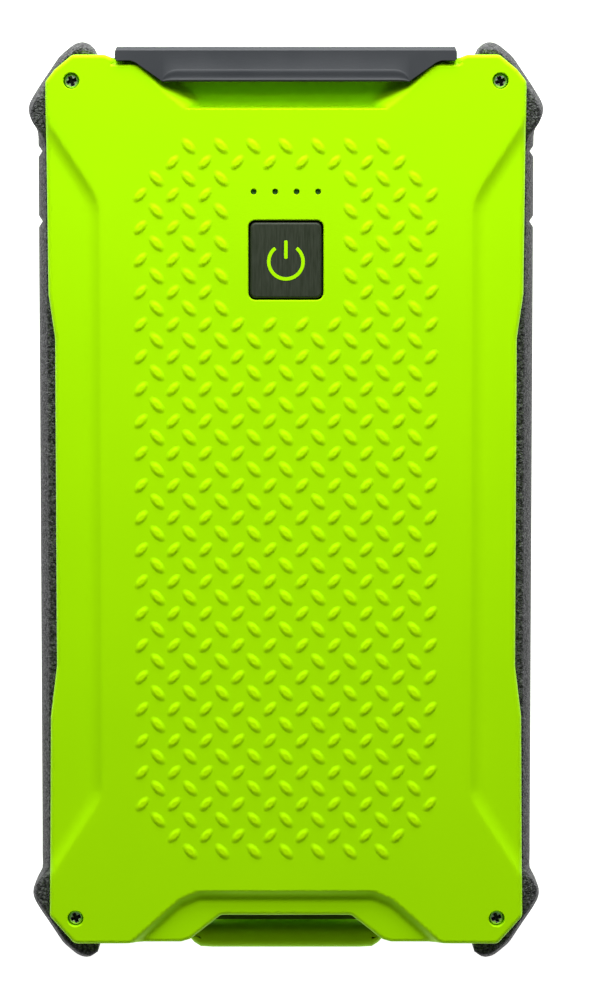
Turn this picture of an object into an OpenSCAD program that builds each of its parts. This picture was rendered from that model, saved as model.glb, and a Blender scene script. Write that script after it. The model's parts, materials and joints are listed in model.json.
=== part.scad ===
// Rugged clamshell power bank. Two hard covers close around a rubber bumper frame, with a hinged port
// door over the sockets at the top end, a lanyard bar at the bottom end, one push button and four
// charge lights in the front cover. Two pouch cells and one circuit board fill the inside.
// Origin: middle of the rear face. +Z leaves the front face, +Y points to the door, +X to the right.

/* [Case] */
// Width of the hard covers at the corners
cover_w = 75.4; // [75:0.1:76]
// Length of the hard covers
cover_l = 141; // [140.6:0.1:141.4]
// Thickness from the rear face to the front face
case_t = 21; // [21:0.1:22]
// Thickness of each cover at its edge, down to the seam with the frame
cover_edge = 4; // [3.9:0.1:4.1]
// Wall of the covers
wall = 2; // [1.8:0.1:2]
// How far the waist of the covers is drawn in on each side
waist_in = 1.3; // [0.8:0.1:1.4]
// How far the side panels lie below the middle of a cover
panel_drop = 0.7; // [0.4:0.1:0.8]

/* [Tread] */
// Pitch of the raised tread, the same both ways
tread_pitch = 5.08; // [5:0.01:5.1]
// Height of the tread
tread_h = 0.45; // [0.3:0.05:0.5]
// Length of the larger tread bumps
tread_long = 3; // [2.6:0.1:3.2]
// Width of the larger tread bumps
tread_wide = 1.3; // [1:0.1:1.4]
// Angle of the bumps from the width of the case
tread_angle = 48; // [42:1:50]

/* [Bumper frame] */
// Half width of the frame at mid thickness
frame_x = 39.4; // [39:0.1:39.6]
// How far the frame narrows from mid thickness to its seams
frame_bevel = 1.4; // [1:0.1:1.5]
// How far the corner lobes rise past the seams, over the edges of the covers
lobe_rise = 1.8; // [1:0.1:2]

/* [Port door] */
// Half width of the door
door_x = 26.5; // [26:0.1:26.6]
// Thickness of the door
door_wall = 1.6; // [1.4:0.1:1.6]
// Radius of the hinge barrel
hinge_r = 1.5; // [1.4:0.1:1.5]
// Diameter of the hinge pin
pin_d = 1.5; // [1.2:0.1:1.5]
// Clearance between the door and the case
door_gap = 0.3; // [0.3:0.05:0.4]

/* [Button and lights] */
// Width of the push button
button_w = 11.2; // [10.8:0.1:11.4]
// Height of the push button along the case
button_l = 11.9; // [11.5:0.1:12.1]
// Gap around the push button
button_gap = 0.3; // [0.25:0.05:0.35]
// Diameter of the light holes
light_d = 0.9; // [0.8:0.05:1]
// Spacing of the light holes
light_pitch = 3.37; // [3.3:0.01:3.4]

/* [Sockets] */
// Distance of the two wide sockets from the middle
usb_a_x = 14.6; // [14.4:0.1:15]
// Outside of a wide socket's shell
usb_a_size = [13.2, 14, 5.8];
// Outside of the narrow socket's shell
usb_c_size = [8.94, 7.4, 3.26];

/* [Cells] */
// Width, length and thickness of each pouch cell
cell = [63, 90, 7.5];

/* [Hidden] */

$fn = 48;
eps = 0.01;
past = 1;
half_w = cover_w / 2;
half_l = cover_l / 2;

// Heights of the seams between the covers and the frame
seam_rear = cover_edge;
seam_front = case_t - cover_edge;
inside_front = case_t - wall;

// Cavity between the walls
cavity_x = 34.6;
cavity_top = 62.9;
cavity_bottom = -62.2;
cavity_chamfer = [5.1, 5.9];

// Cover screws
screw_x = 33.6;
screw_y = 66.4;
screw_r = 0.7;
screw_head_r = 1.15;
screw_head_h = 0.9;
screw_sink = 0.9;
screw_seat = case_t - screw_sink - screw_head_h;
insert_r = 1.3;
insert_l = 3;

// Finger scoop under the tip of the door, with a rim of cover left behind it inside
scoop_depth = 2.8;
scoop_floor = case_t - scoop_depth;
scoop_y = 62;
scoop_ramp = 0.9;
scoop_half = [[24.1, 69.2], [19.3, 64.5], [16, scoop_y]];
rim_x = 24;
rim_y = scoop_y - 1.4;

// Scoops over the lanyard slot, in the front cover and in the rear one
front_notch_depth = 1.5;
rear_notch_depth = 1.2;
notch_scoop_y = -62.2;
notch_scoop_ramp = 1.6;
notch_scoop_half = [[14, notch_scoop_y], [17.2, -63.1], [22, -67.4], [26.2, -half_l - past]];

// Lanyard slot and bar
slot_top = -66.15;
slot_bottom = -70.3;
slot_x = 13.5;
bar_x = 16;
bar_end = -74.2;
bar_top = 6.6;
bar_round = 2;
bar_fit = 0.2;

// Ledge in the front cover under the flap of the door
ledge_y = 69.2;
ledge_gap = 0.4;

// Hinge and port bay
hinge_y = half_l - 0.3;
hinge_z = seam_rear;
saddle_in = 21.3;
saddle_out = 25.3;
case_end = half_l - 0.7;
door_cut_x = door_x + 0.5;
bezel_x = 25.5;
bezel_y = 63;
bezel_end = case_end - 0.2;
bay_x = 24.2;
bay_y = 64.3;
bay_low = 5.2;
bay_high = 15.4;

// Door profile
door_out = 71.7;
door_in = door_out - door_wall;
flap_top = case_t + 0.5;
flap_t = 1.3;
flap_tip = 66.05;
lip_x = 17.5;
pin_play = 0.05;

// Button and board
button_y = 38.4;
button_top = case_t - 0.1;
key_flange_top = inside_front - 0.2;
key_flange_t = 0.7;
key_flange_out = 1.1;
gasket_t = 1.5;
stem_r = 1.3;
board_top = 13.2;
board_t = 1.2;
board_low = board_top - board_t;
board_x = 29;
board_y = [34.4, 62.4];
light_y = 49.1;
post_r = 2.1;
post_x = 26;
post_y = [37.5, 59];
post_bore = 5;
board_screw_r = 0.6;
board_screw_l = 4;

// Cells
cell_y = -14.5;
foam_rear_t = 0.5;
tape_t = 0.3;
cell_rear_z = wall + foam_rear_t;
cell_front_z = cell_rear_z + cell.z + tape_t;

// Tread: rows counted in half pitches from the middle of the cover
tread_origin_y = 0.34;
tread_last = 22;
tread_window = [12, 20];
tread_root = 0.3;
rear_field_depth = 0.5;

function both_sides(half) =
    concat(half, [for (i = [len(half) - 1 : -1 : 0]) [-half[i].x, half[i].y]]);

function cavity_points(grow) = both_sides([
    [cavity_x - cavity_chamfer.x + grow / 2, cavity_top + grow],
    [cavity_x + grow, cavity_top - cavity_chamfer.y + grow / 2],
    [cavity_x + grow, cavity_bottom + cavity_chamfer.y - grow / 2],
    [cavity_x - cavity_chamfer.x + grow / 2, cavity_bottom - grow]]);

module prism(points, low, high) {
    translate([0, 0, low]) linear_extrude(high - low) polygon(points);
}

module block(low, high) {
    translate(low) cube(high - low);
}

// A profile drawn in Y and Z, pulled along X
module along_x(profile, low, high) {
    translate([low, 0, 0])
        rotate([90, 0, 90])
            linear_extrude(high - low) polygon(profile);
}

module rod_x(y, z, r, low, high) {
    translate([low, y, z]) rotate([0, 90, 0]) cylinder(r = r, h = high - low);
}

module at_corners() {
    for (sx = [-1, 1])
        for (sy = [-1, 1])
            translate([sx * screw_x, sy * screw_y, 0]) children();
}

module left_and_right() {
    children();
    mirror([1, 0, 0]) children();
}

module at_posts() {
    for (sx = [-1, 1])
        for (y = post_y)
            translate([sx * post_x, y, 0]) children();
}

// ---- Covers ----

cover_points = both_sides([
    [half_w - 4.3, half_l],
    [half_w - 1.5, half_l - 2.3],
    [half_w, half_l - 4.2],
    [half_w - 0.3, 33],
    [half_w - waist_in, 26],
    [half_w - waist_in, -26],
    [half_w - 0.3, -34],
    [half_w, -half_l + 4.4],
    [half_w - 3.9, -half_l]]);

panel_points = [
    [half_w + past, 60.6],
    [31, 50.4],
    [29.7, 47.8],
    [29.3, 45.9],
    [29.3, -45.6],
    [29.9, -47.8],
    [half_w + past, -60.8]];

notch_points = both_sides([
    [10.4, slot_top],
    [11.1, slot_top - 0.3],
    [15.8, slot_top - 3.9],
    [15.8, -half_l - past]]);

module side_panels(low, high) {
    left_and_right() prism(panel_points, low, high);
}

// One raised bump of the tread, an eight-sided grain
module tread_bump(long, wide, low, high) {
    flat_half = long * 0.32;
    tip = wide * 0.2;
    prism([
        [long / 2, tip], [flat_half, wide / 2], [-flat_half, wide / 2], [-long / 2, tip],
        [-long / 2, -tip], [-flat_half, -wide / 2], [flat_half, -wide / 2], [long / 2, -tip]],
        low, high);
}

// Rows of bumps that lean one way on the lattice and the other way between its points.
// The window leaves the tread out around the button and the lights.
module tread(low, high, window) {
    for (row = [-tread_last : tread_last]) {
        leans_left = row % 2 == 0;
        end_row = abs(row) > tread_last - 2;
        last = leans_left ? (end_row ? 6 : 8) : (end_row ? 7 : 9);
        inside = window && row >= tread_window[0] && row <= tread_window[1];
        for (column = [-last : 2 : last])
            if (!inside || abs(column) > 3)
                translate([column, row, 0] * tread_pitch / 2 + [0, tread_origin_y, 0])
                    rotate(leans_left ? -tread_angle : tread_angle)
                        tread_bump(
                            leans_left ? tread_long : tread_long - 0.25,
                            leans_left ? tread_wide : tread_wide - 0.2, low, high);
    }
}

module top_scoop() {
    intersection() {
        prism(both_sides(concat([[scoop_half[0].x, half_l + past]], scoop_half)),
            scoop_floor - eps, case_t + past);
        along_x([
            [scoop_y - eps, case_t + past], [scoop_y, case_t], [scoop_y + scoop_ramp, scoop_floor],
            [half_l + past, scoop_floor], [half_l + past, case_t + past]], -door_cut_x, door_cut_x);
    }
}

module bottom_scoop(depth) {
    intersection() {
        prism(both_sides(notch_scoop_half), -eps, case_t + past);
        along_x([
            [notch_scoop_y, case_t + past], [notch_scoop_y, case_t],
            [notch_scoop_y - notch_scoop_ramp, case_t - depth],
            [-half_l - past, case_t - depth], [-half_l - past, case_t + past]], -half_w, half_w);
    }
}

// Space inside the front cover, kept clear of the wall of the top scoop
module front_cavity() {
    difference() {
        prism(cavity_points(0), seam_front - past, inside_front);
        block([-rim_x, rim_y, seam_front], [rim_x, cavity_top + past, case_t]);
    }
}

module front_cover() {
    color([0.62, 0.9, 0.01]) difference() {
        union() {
            difference() {
                prism(cover_points, seam_front, case_t);
                front_cavity();
                side_panels(case_t - panel_drop, case_t + past);
                top_scoop();
                bottom_scoop(front_notch_depth);
            }
            tread(case_t - tread_root, case_t + tread_h, true);
        }
        block([-door_cut_x, case_end, seam_front - past], [door_cut_x, half_l + past, case_t + past]);
        block([-door_cut_x, ledge_y, flap_top - flap_t - ledge_gap],
            [door_cut_x, half_l + past, case_t + past]);
        prism(notch_points, seam_front - past, case_t + past);
        translate([0, button_y, inside_front])
            cube([button_w + 2 * button_gap, button_l + 2 * button_gap, 3 * wall], center = true);
        for (i = [-1.5 : 1.5])
            translate([i * light_pitch, light_y, inside_front - past])
                cylinder(d = light_d, h = wall + 2 * past);
        at_corners() {
            translate([0, 0, seam_front - past]) cylinder(r = screw_r + 0.1, h = cover_edge);
            translate([0, 0, screw_seat]) cylinder(r = screw_head_r + 0.1, h = cover_edge);
        }
    }
}

module rear_cover() {
    color([0.55, 0.82, 0.01]) difference() {
        union() {
            difference() {
                union() {
                    prism(cover_points, 0, seam_rear);
                    lanyard_bar();
                    left_and_right()
                        rod_x(hinge_y, hinge_z, hinge_r, saddle_in, saddle_out);
                    left_and_right()
                        block([saddle_in, case_end - past, hinge_z - hinge_r],
                            [saddle_out, hinge_y, hinge_z]);
                }
                prism(cavity_points(0), wall, seam_rear + past);
                side_panels(-past, panel_drop);
                mirror([0, 0, 1]) translate([0, 0, -case_t]) bottom_scoop(rear_notch_depth);
                rear_tread_field();
                left_and_right()
                    block([0, case_end, -past], [saddle_in, half_l + past, seam_rear + past]);
                left_and_right()
                    block([saddle_out, case_end, -past],
                        [door_cut_x, half_l + past, seam_rear + past]);
                left_and_right()
                    block([saddle_in - past, hinge_y - hinge_r - past, hinge_z],
                        [saddle_out + past, half_l + 2 * past, hinge_z + 2 * hinge_r]);
                block([-saddle_in - eps, hinge_y - hinge_r - door_gap, hinge_z - hinge_r - door_gap],
                    [saddle_in + eps, half_l + past, seam_rear + past]);
            }
            tread(rear_field_depth - tread_h, wall - 0.2, false);
            at_posts() translate([0, 0, wall - eps]) cylinder(r = post_r, h = board_low - wall + eps);
        }
        rod_x(hinge_y, hinge_z, pin_d / 2, -saddle_out - past, saddle_out + past);
        block([-slot_x, slot_bottom, -past], [slot_x, slot_top, bar_top + past]);
        at_corners() translate([0, 0, seam_rear - insert_l]) cylinder(r = insert_r, h = insert_l + past);
        at_posts() translate([0, 0, board_low - post_bore])
            cylinder(r = board_screw_r, h = post_bore + past);
    }
}

// The shallow field that keeps the rear tread off whatever the case lies on
module rear_tread_field() {
    field_x = 5 * tread_pitch;
    field_y = 12 * tread_pitch;
    prism(both_sides([
        [field_x - 4, field_y], [field_x, field_y - 6], [field_x, 6 - field_y], [field_x - 4, -field_y]]),
        -past, rear_field_depth);
}

// The bar across the slot, eased where the cord runs over its inner top edge
module lanyard_bar() {
    eased = bar_round * 0.29;
    difference() {
        prism(both_sides([
            [bar_x, slot_bottom], [bar_x, bar_end + 1.7], [bar_x - 1.9, bar_end]]), rear_notch_depth, bar_top);
        along_x([
            [slot_bottom + past, bar_top + past],
            [slot_bottom + past, bar_top - bar_round],
            [slot_bottom, bar_top - bar_round],
            [slot_bottom - eased, bar_top - eased],
            [slot_bottom - bar_round, bar_top],
            [slot_bottom - bar_round, bar_top + past]], -bar_x - past, bar_x + past);
    }
}

// ---- Bumper frame ----

lobe_points = [
    [30, 69], [30.4, 72], [32, 73.1], [33.6, 72.6], [36, 70.6], [38.9, 66.3],
    [40.7, 63.3], [41, 62.2], [40.5, 60.9], [38.4, 57.8], [36, 57.8]];

frame_points = both_sides([
    [33.2, half_l - 0.3], [37.6, 66.4], [frame_x, 60], [frame_x, -60], [37.6, -66.4],
    [33.6, -half_l + 0.3]]);

frame_seam_points = both_sides([
    [33, half_l - 0.3], [37.4, 66.2], [frame_x - frame_bevel, 60], [frame_x - frame_bevel, -60],
    [37.4, -66.2], [33.4, -half_l + 0.3]]);

band_half = 3;
lobe_half = 4;
lobe_taper = 0.985;
lobe_shift = -1.1;

module frame_band() {
    hull() {
        prism(frame_points, case_t / 2 - band_half, case_t / 2 + band_half);
        prism(frame_seam_points, seam_rear, seam_front);
    }
}

module corner_lobe() {
    hull() {
        prism(lobe_points, case_t / 2 - lobe_half, case_t / 2 + lobe_half);
        prism([for (p = lobe_points) p * lobe_taper], seam_rear - lobe_rise, seam_front + lobe_rise);
    }
}

// Two V grooves across each side, one under the other
side_groove_y = [55.6, 44.5];
side_groove_depth = 0.6;
side_groove_half = 2.3;

module side_groove(y) {
    prism([
        [frame_x + past, y + side_groove_half], [frame_x - side_groove_depth, y],
        [frame_x + past, y - side_groove_half]], -past, case_t + past);
}

module bumper_frame() {
    color([0.21, 0.22, 0.22]) difference() {
        union() {
            frame_band();
            left_and_right() corner_lobe();
            left_and_right() translate([0, lobe_shift, 0]) mirror([0, 1, 0]) corner_lobe();
        }
        prism(cavity_points(0), -past, case_t + past);
        prism(cover_points, seam_front, case_t + past);
        prism(cover_points, -past, seam_rear);
        seal_ring(seam_front - seal_t, seam_front + past);
        seal_ring(seam_rear - past, seam_rear + seal_t);
        prism(notch_points, -past, case_t + past);
        block([-bezel_x, cavity_top - past, -past], [bezel_x, half_l + 3 * past, case_t + past]);
        block([-door_cut_x, case_end, -past], [door_cut_x, half_l + 3 * past, case_t + past]);
        block([-slot_x, slot_bottom, -past], [slot_x, slot_top, case_t + past]);
        block([-bar_x - bar_fit, bar_end - past, -past],
            [bar_x + bar_fit, slot_bottom + bar_fit, bar_top + bar_fit]);
        left_and_right()
            for (y = side_groove_y)
                side_groove(y);
        at_corners() cylinder(r = screw_r + 0.2, h = case_t);
    }
}

seal_t = 0.8;
seal_inset = 0.5;

module seal_ring(low, high) {
    difference() {
        prism(cavity_points(seal_inset + seal_t), low, high);
        prism(cavity_points(seal_inset), low - past, high + past);
    }
}

module front_seal() {
    color([0.12, 0.12, 0.13]) seal_ring(seam_front - seal_t, seam_front);
}

module rear_seal() {
    color([0.12, 0.12, 0.13]) seal_ring(seam_rear, seam_rear + seal_t);
}

// ---- Fasteners ----

screw_cross = [1.5, 0.36, 1.1];
screw_turn = 20;
screw_end = seam_rear - insert_l + 0.6;

module cover_screw() {
    difference() {
        union() {
            translate([0, 0, screw_seat]) cylinder(r = screw_head_r, h = screw_head_h);
            translate([0, 0, screw_end]) cylinder(r = screw_r, h = screw_seat - screw_end + eps);
        }
        for (turn = [0, 90])
            translate([0, 0, screw_seat + screw_head_h])
                rotate(turn + screw_turn) cube(screw_cross, center = true);
    }
}

module cover_screws() {
    color([0.42, 0.43, 0.45]) at_corners() cover_screw();
}

module threaded_inserts() {
    color([0.78, 0.62, 0.3]) at_corners() difference() {
        translate([0, 0, seam_rear - insert_l]) cylinder(r = insert_r, h = insert_l);
        translate([0, 0, seam_rear - insert_l - past]) cylinder(r = screw_r, h = insert_l + 2 * past);
    }
}

// ---- Port door ----

flap_points = both_sides([
    [26.1, door_out + past],
    [door_x + 0.5, 70.3],
    [door_x, 69.5],
    [24.2, 69.5],
    [23.6, 69.2],
    [19.5, flap_tip],
    [18.8, 66.4],
    [18.4, 66.6]]);

// Profile of the door in Y and Z: wall, bevelled corner, finger groove, raised lip and its tip
door_bevel = 0.6;
lip_rise = 0.2;
lip_back = 68.1;
door_profile = [
    [door_in, hinge_z], [door_out, hinge_z], [door_out, flap_top - door_bevel],
    [door_out - door_bevel, flap_top], [68, flap_top], [67.6, flap_top - 0.25],
    [67, flap_top - 0.1], [66.7, flap_top + lip_rise], [flap_tip, flap_top + lip_rise],
    [flap_tip, flap_top - flap_t], [door_in, flap_top - flap_t]];

module port_door() {
    color([0.33, 0.33, 0.35]) difference() {
        union() {
            intersection() {
                along_x(door_profile, -door_x - past, door_x + past);
                prism(flap_points, -past, case_t + 2 * past);
            }
            rod_x(hinge_y, hinge_z, hinge_r, door_gap - saddle_in, saddle_in - door_gap);
        }
        left_and_right()
            block([saddle_in - door_gap, door_in - past, hinge_z - 2 * hinge_r],
                [door_x + past, door_out + past, hinge_z + hinge_r + ledge_gap]);
        left_and_right()
            block([lip_x, flap_tip - past, flap_top], [door_x, lip_back, flap_top + past]);
        rod_x(hinge_y, hinge_z, pin_d / 2 + pin_play, -door_x, door_x);
    }
}

// A tray of rubber on the inside of the door, with a rim that fills the mouth of the bay
module door_seal() {
    seal_y = 68.6;
    floor_y = 69.3;
    fit = 0.5;
    low_fit = 0.8;
    rim = 1.8;
    color([0.16, 0.16, 0.17]) difference() {
        block([-bay_x + fit, seal_y, bay_low + low_fit], [bay_x - fit, door_in, bay_high - fit]);
        block([-bay_x + fit + rim, seal_y - past, bay_low + low_fit + rim],
            [bay_x - fit - rim, floor_y, bay_high - fit - rim]);
    }
}

module hinge_pin() {
    recess = 0.2;
    color([0.7, 0.7, 0.72])
        rod_x(hinge_y, hinge_z, pin_d / 2, recess - saddle_out, saddle_out - recess);
}

// ---- Sockets ----

socket_mouth = bay_y + 0.2;
socket_fit = 0.1;
usb_a_wall = 0.35;
usb_a_low = board_low - usb_a_size.z;
usb_a_back = socket_mouth - usb_a_size.y;
usb_c_wall = 0.3;
usb_c_z = board_low - usb_c_size.z / 2;
usb_c_back = socket_mouth - usb_c_size.y;

module usb_a_place(side) {
    translate([side * usb_a_x, usb_a_back, usb_a_low]) children();
}

module usb_c_outline(size) {
    straight = size.x - size.z;
    translate([0, 0, usb_c_z]) rotate([90, 0, 0]) mirror([0, 0, 1]) linear_extrude(size.y) union() {
        square([straight, size.z], center = true);
        translate([straight / 2, 0]) circle(d = size.z);
        translate([-straight / 2, 0]) circle(d = size.z);
    }
}

module port_bezel() {
    color([0.12, 0.12, 0.13]) difference() {
        union() {
            block([-bezel_x, bezel_y, seam_rear], [bezel_x, bezel_end, seam_front]);
            left_and_right() {
                block([saddle_in, bezel_end - past, hinge_z], [saddle_out, hinge_y, hinge_z + hinge_r]);
                intersection() {
                    rod_x(hinge_y, hinge_z, hinge_r, saddle_in, saddle_out);
                    block([saddle_in, bezel_end, hinge_z],
                        [saddle_out, door_out + past, hinge_z + hinge_r]);
                }
            }
        }
        block([-bay_x, bay_y, bay_low], [bay_x, half_l + past, bay_high]);
        for (side = [-1, 1])
            usb_a_place(side)
                translate([-usb_a_size.x / 2, 0, 0] - [socket_fit, 0, socket_fit] / 2)
                    cube(usb_a_size + [socket_fit, 0, socket_fit]);
        translate([0, usb_c_back, 0]) usb_c_outline(usb_c_size + [socket_fit, 0, socket_fit]);
        seal_ring(seam_front - seal_t, seam_front + past);
        seal_ring(seam_rear - past, seam_rear + seal_t);
        rod_x(hinge_y, hinge_z, pin_d / 2, -saddle_out - past, saddle_out + past);
        block([-saddle_in, hinge_y - hinge_r - door_gap, seam_rear - past],
            [saddle_in, half_l + past, hinge_z + hinge_r + door_gap]);
    }
}

// The space inside a wide socket's shell, from its back wall for the given depth
module usb_a_inside(depth) {
    translate([usb_a_wall - usb_a_size.x / 2, usb_a_wall, usb_a_wall])
        cube([usb_a_size.x - 2 * usb_a_wall, depth, usb_a_size.z - 2 * usb_a_wall]);
}

module usb_a_shell(side) {
    color([0.74, 0.75, 0.77]) usb_a_place(side) difference() {
        translate([-usb_a_size.x / 2, 0, 0]) cube(usb_a_size);
        usb_a_inside(usb_a_size.y);
    }
}

// The plate that the contacts lie under: 11.1 wide, 9.6 long and 1.84 thick
usb_a_plate = [11.1, 9.6, 1.84];
usb_a_plate_z = 3.3;
usb_a_block = 3;

module usb_a_tongue(side) {
    color([0.9, 0.9, 0.88]) usb_a_place(side) {
        usb_a_inside(usb_a_block);
        translate([-usb_a_plate.x / 2, usb_a_block, usb_a_plate_z]) cube(usb_a_plate);
    }
}

module usb_a_contacts(side) {
    contact = [1, 8.4, 0.2];
    pitch = 2.3;
    color([0.86, 0.7, 0.35]) usb_a_place(side)
        for (i = [-1.5 : 1.5])
            translate([i * pitch - contact.x / 2, usb_a_block + 0.4, usb_a_plate_z - contact.z])
                cube(contact);
}

module usb_a_shell_left() { usb_a_shell(-1); }
module usb_a_shell_right() { usb_a_shell(1); }
module usb_a_tongue_left() { usb_a_tongue(-1); }
module usb_a_tongue_right() { usb_a_tongue(1); }
module usb_a_contacts_left() { usb_a_contacts(-1); }
module usb_a_contacts_right() { usb_a_contacts(1); }

// The space inside the narrow socket's shell, from its back wall for the given depth
module usb_c_inside(depth) {
    translate([0, usb_c_wall, 0])
        usb_c_outline([usb_c_size.x - 2 * usb_c_wall, depth, usb_c_size.z - 2 * usb_c_wall]);
}

module usb_c_shell() {
    color([0.74, 0.75, 0.77]) translate([0, usb_c_back, 0]) difference() {
        usb_c_outline(usb_c_size);
        usb_c_inside(usb_c_size.y);
    }
}

usb_c_plate = [6.7, 4.8, 0.7];
usb_c_plate_y = 1.8;

module usb_c_tongue() {
    color([0.1, 0.1, 0.11]) translate([0, usb_c_back, 0]) {
        usb_c_inside(1.6);
        translate([-usb_c_plate.x / 2, usb_c_plate_y, usb_c_z - usb_c_plate.z / 2]) cube(usb_c_plate);
    }
}

module usb_c_contacts() {
    contact = [0.24, 3.2, 0.1];
    pitch = 0.5;
    level = (usb_c_plate.z + contact.z) / 2;
    color([0.86, 0.7, 0.35]) translate([0, usb_c_back, 0])
        for (i = [-5.5 : 5.5])
            for (face = [-1, 1])
                translate([i * pitch, 3, usb_c_z + face * level] - [contact.x, 0, contact.z] / 2)
                    cube(contact);
}

// ---- Button and lights ----

module power_button() {
    stem_low = board_top + 2.8;
    color([0.2, 0.22, 0.18]) translate([0, button_y, 0]) {
        translate([-button_w / 2, -button_l / 2, key_flange_top])
            cube([button_w, button_l, button_top - key_flange_top]);
        translate([0, 0, key_flange_top - key_flange_t / 2])
            cube([button_w, button_l, 0] + [2 * key_flange_out, 2 * key_flange_out, key_flange_t],
                center = true);
        translate([0, 0, stem_low])
            cylinder(r = stem_r, h = key_flange_top - key_flange_t - stem_low + eps);
    }
}

gasket_top = key_flange_top - key_flange_t;
retainer_t = 0.9;

module square_ring(outer, inner, low, high) {
    translate([0, button_y, low]) difference() {
        translate([-outer.x / 2, -outer.y / 2, 0]) cube([outer.x, outer.y, high - low]);
        translate([-inner.x / 2, -inner.y / 2, -past]) cube([inner.x, inner.y, high - low + 2 * past]);
    }
}

module button_gasket() {
    color([0.1, 0.1, 0.1]) square_ring([13.2, 13.8], [10.2, 10.8], gasket_top - gasket_t, gasket_top);
}

// A plate with two walls up to the inside of the cover, which holds the gasket and the button
module button_retainer() {
    low = gasket_top - gasket_t - retainer_t;
    reach = [9.2, 7.5];
    wall_in = 8.2;
    window = [4.6, 4.6];
    color([0.15, 0.15, 0.16]) {
        square_ring(2 * reach, window, low, low + retainer_t);
        left_and_right()
            block([wall_in, button_y - reach.y, low + retainer_t - eps],
                [reach.x, button_y + reach.y, inside_front]);
    }
}

switch_size = [6, 6, 2];
plunger_r = 1.65;

module tact_switch() {
    color([0.13, 0.13, 0.14]) translate([0, button_y, board_top]) difference() {
        translate([-switch_size.x / 2, -switch_size.y / 2, 0]) cube(switch_size);
        translate([0, 0, 0.6]) cylinder(r = plunger_r + 0.1, h = 3);
    }
}

module switch_plunger() {
    color([0.75, 0.75, 0.76]) translate([0, button_y, board_top + 1.2]) cylinder(r = plunger_r, h = 1.6);
}

// Four clear rods over the four lamps, joined by a bridge
module light_pipe() {
    foot = board_top + 1;
    rod_top = case_t - 0.6;
    bridge = [7, 1.5];
    bridge_z = [16.6, 17.6];
    color([0.9, 0.93, 0.9]) {
        for (i = [-1.5 : 1.5])
            translate([i * light_pitch, light_y, foot])
                cylinder(d = light_d - 0.1, h = rod_top - foot);
        block([-bridge.x, light_y - bridge.y, bridge_z[0]], [bridge.x, light_y + bridge.y, bridge_z[1]]);
    }
}

module indicator_leds() {
    led = [2, 1.2, 0.8];
    color([0.95, 0.95, 0.85])
        for (i = [-1.5 : 1.5])
            translate([i * light_pitch - led.x / 2, light_y - led.y / 2, board_top]) cube(led);
}

// ---- Circuit board ----

module circuit_board() {
    color([0.05, 0.28, 0.16]) difference() {
        block([-board_x, board_y[0], board_low], [board_x, board_y[1], board_top]);
        at_posts() translate([0, 0, board_low - past])
            cylinder(r = board_screw_r + 0.3, h = board_t + 2 * past);
    }
}

module board_screws() {
    head_r = 1.5;
    head_h = 0.9;
    cross = [1.7, 0.35, 0.9];
    color([0.7, 0.7, 0.72]) at_posts() difference() {
        union() {
            translate([0, 0, board_top]) cylinder(r = head_r, h = head_h);
            translate([0, 0, board_low - board_screw_l])
                cylinder(r = board_screw_r, h = board_screw_l + board_t + eps);
        }
        for (turn = [0, 90])
            translate([0, 0, board_top + head_h]) rotate(turn) cube(cross, center = true);
    }
}

// Body with its row of leads on two sides
module chip(size, leads) {
    lead = [0.3, 0.7, 0.3];
    translate([-size.x / 2, -size.y / 2, 0.1]) cube(size);
    for (i = [0 : leads - 1])
        for (side = [-1, 1])
            translate([
                (i - (leads - 1) / 2) * size.x / leads - lead.x / 2,
                side * (size.y + lead.y) / 2 - lead.y / 2, 0]) cube(lead);
}

module control_chips() {
    color([0.09, 0.09, 0.1]) translate([0, 0, board_top]) {
        translate([-19, 40.5, 0]) chip([6, 5, 1], 8);
        translate([17.5, 42, 0]) chip([5, 4.4, 1], 6);
        translate([20, 57.5, 0]) chip([4, 3.2, 0.9], 4);
        translate([-20, 57.5, 0]) chip([4, 3.2, 0.9], 4);
    }
}

// Two flanges with a wound drum between them
module power_inductors() {
    flange = [6.8, 6.8, 0.5];
    drum_h = 2;
    color([0.25, 0.25, 0.26])
        for (side = [-1, 1])
            translate([side * 17.5, 50, board_top]) {
                for (z = [0, flange.z + drum_h])
                    translate([-flange.x / 2, -flange.y / 2, z]) cube(flange);
                translate([0, 0, flange.z]) cylinder(r = 2.3, h = drum_h);
            }
}

// Two cans on square feet, and a row of five small blocks
module capacitors() {
    foot = [4.8, 4.8, 0.6];
    small = [1.2, 2, 0.9];
    color([0.7, 0.7, 0.72]) translate([0, 0, board_top]) {
        for (x = [-9.5, 9.5])
            translate([x, 57.2, 0]) {
                translate([-foot.x / 2, -foot.y / 2, 0]) cube(foot);
                translate([0, 0, foot.z]) cylinder(r = 2.1, h = 4.4);
            }
        for (i = [-2 : 2])
            translate([i * 2.2 - small.x / 2, 52.6, 0]) cube(small);
    }
}

// ---- Cells ----

module cell_body(low) {
    cut = 3;
    translate([0, cell_y, low]) linear_extrude(cell.z) polygon(both_sides([
        [cell.x / 2 - cut, cell.y / 2], [cell.x / 2, cell.y / 2 - cut],
        [cell.x / 2, -cell.y / 2 + cut], [cell.x / 2 - cut, -cell.y / 2]]));
}

module cell_rear() { color([0.78, 0.79, 0.8]) cell_body(cell_rear_z); }
module cell_front() { color([0.78, 0.79, 0.8]) cell_body(cell_front_z); }

module sheet(size, z, t) {
    translate([-size.x / 2, cell_y - size.y / 2, z]) cube([size.x, size.y, t]);
}

tape_size = [46, 72];
foam_size = [50, 80];

module cell_tape() { color([0.9, 0.88, 0.8]) sheet(tape_size, cell_rear_z + cell.z, tape_t); }
module foam_rear() { color([0.2, 0.2, 0.21]) sheet(foam_size, wall, foam_rear_t); }
module foam_front() {
    low = cell_front_z + cell.z;
    color([0.2, 0.2, 0.21]) sheet(foam_size, low, inside_front - 0.1 - low);
}

cell_end = cell_y + cell.y / 2;
protect_y = cell_end + 0.9;
protect_t = 0.8;
protect_x = 15;

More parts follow.
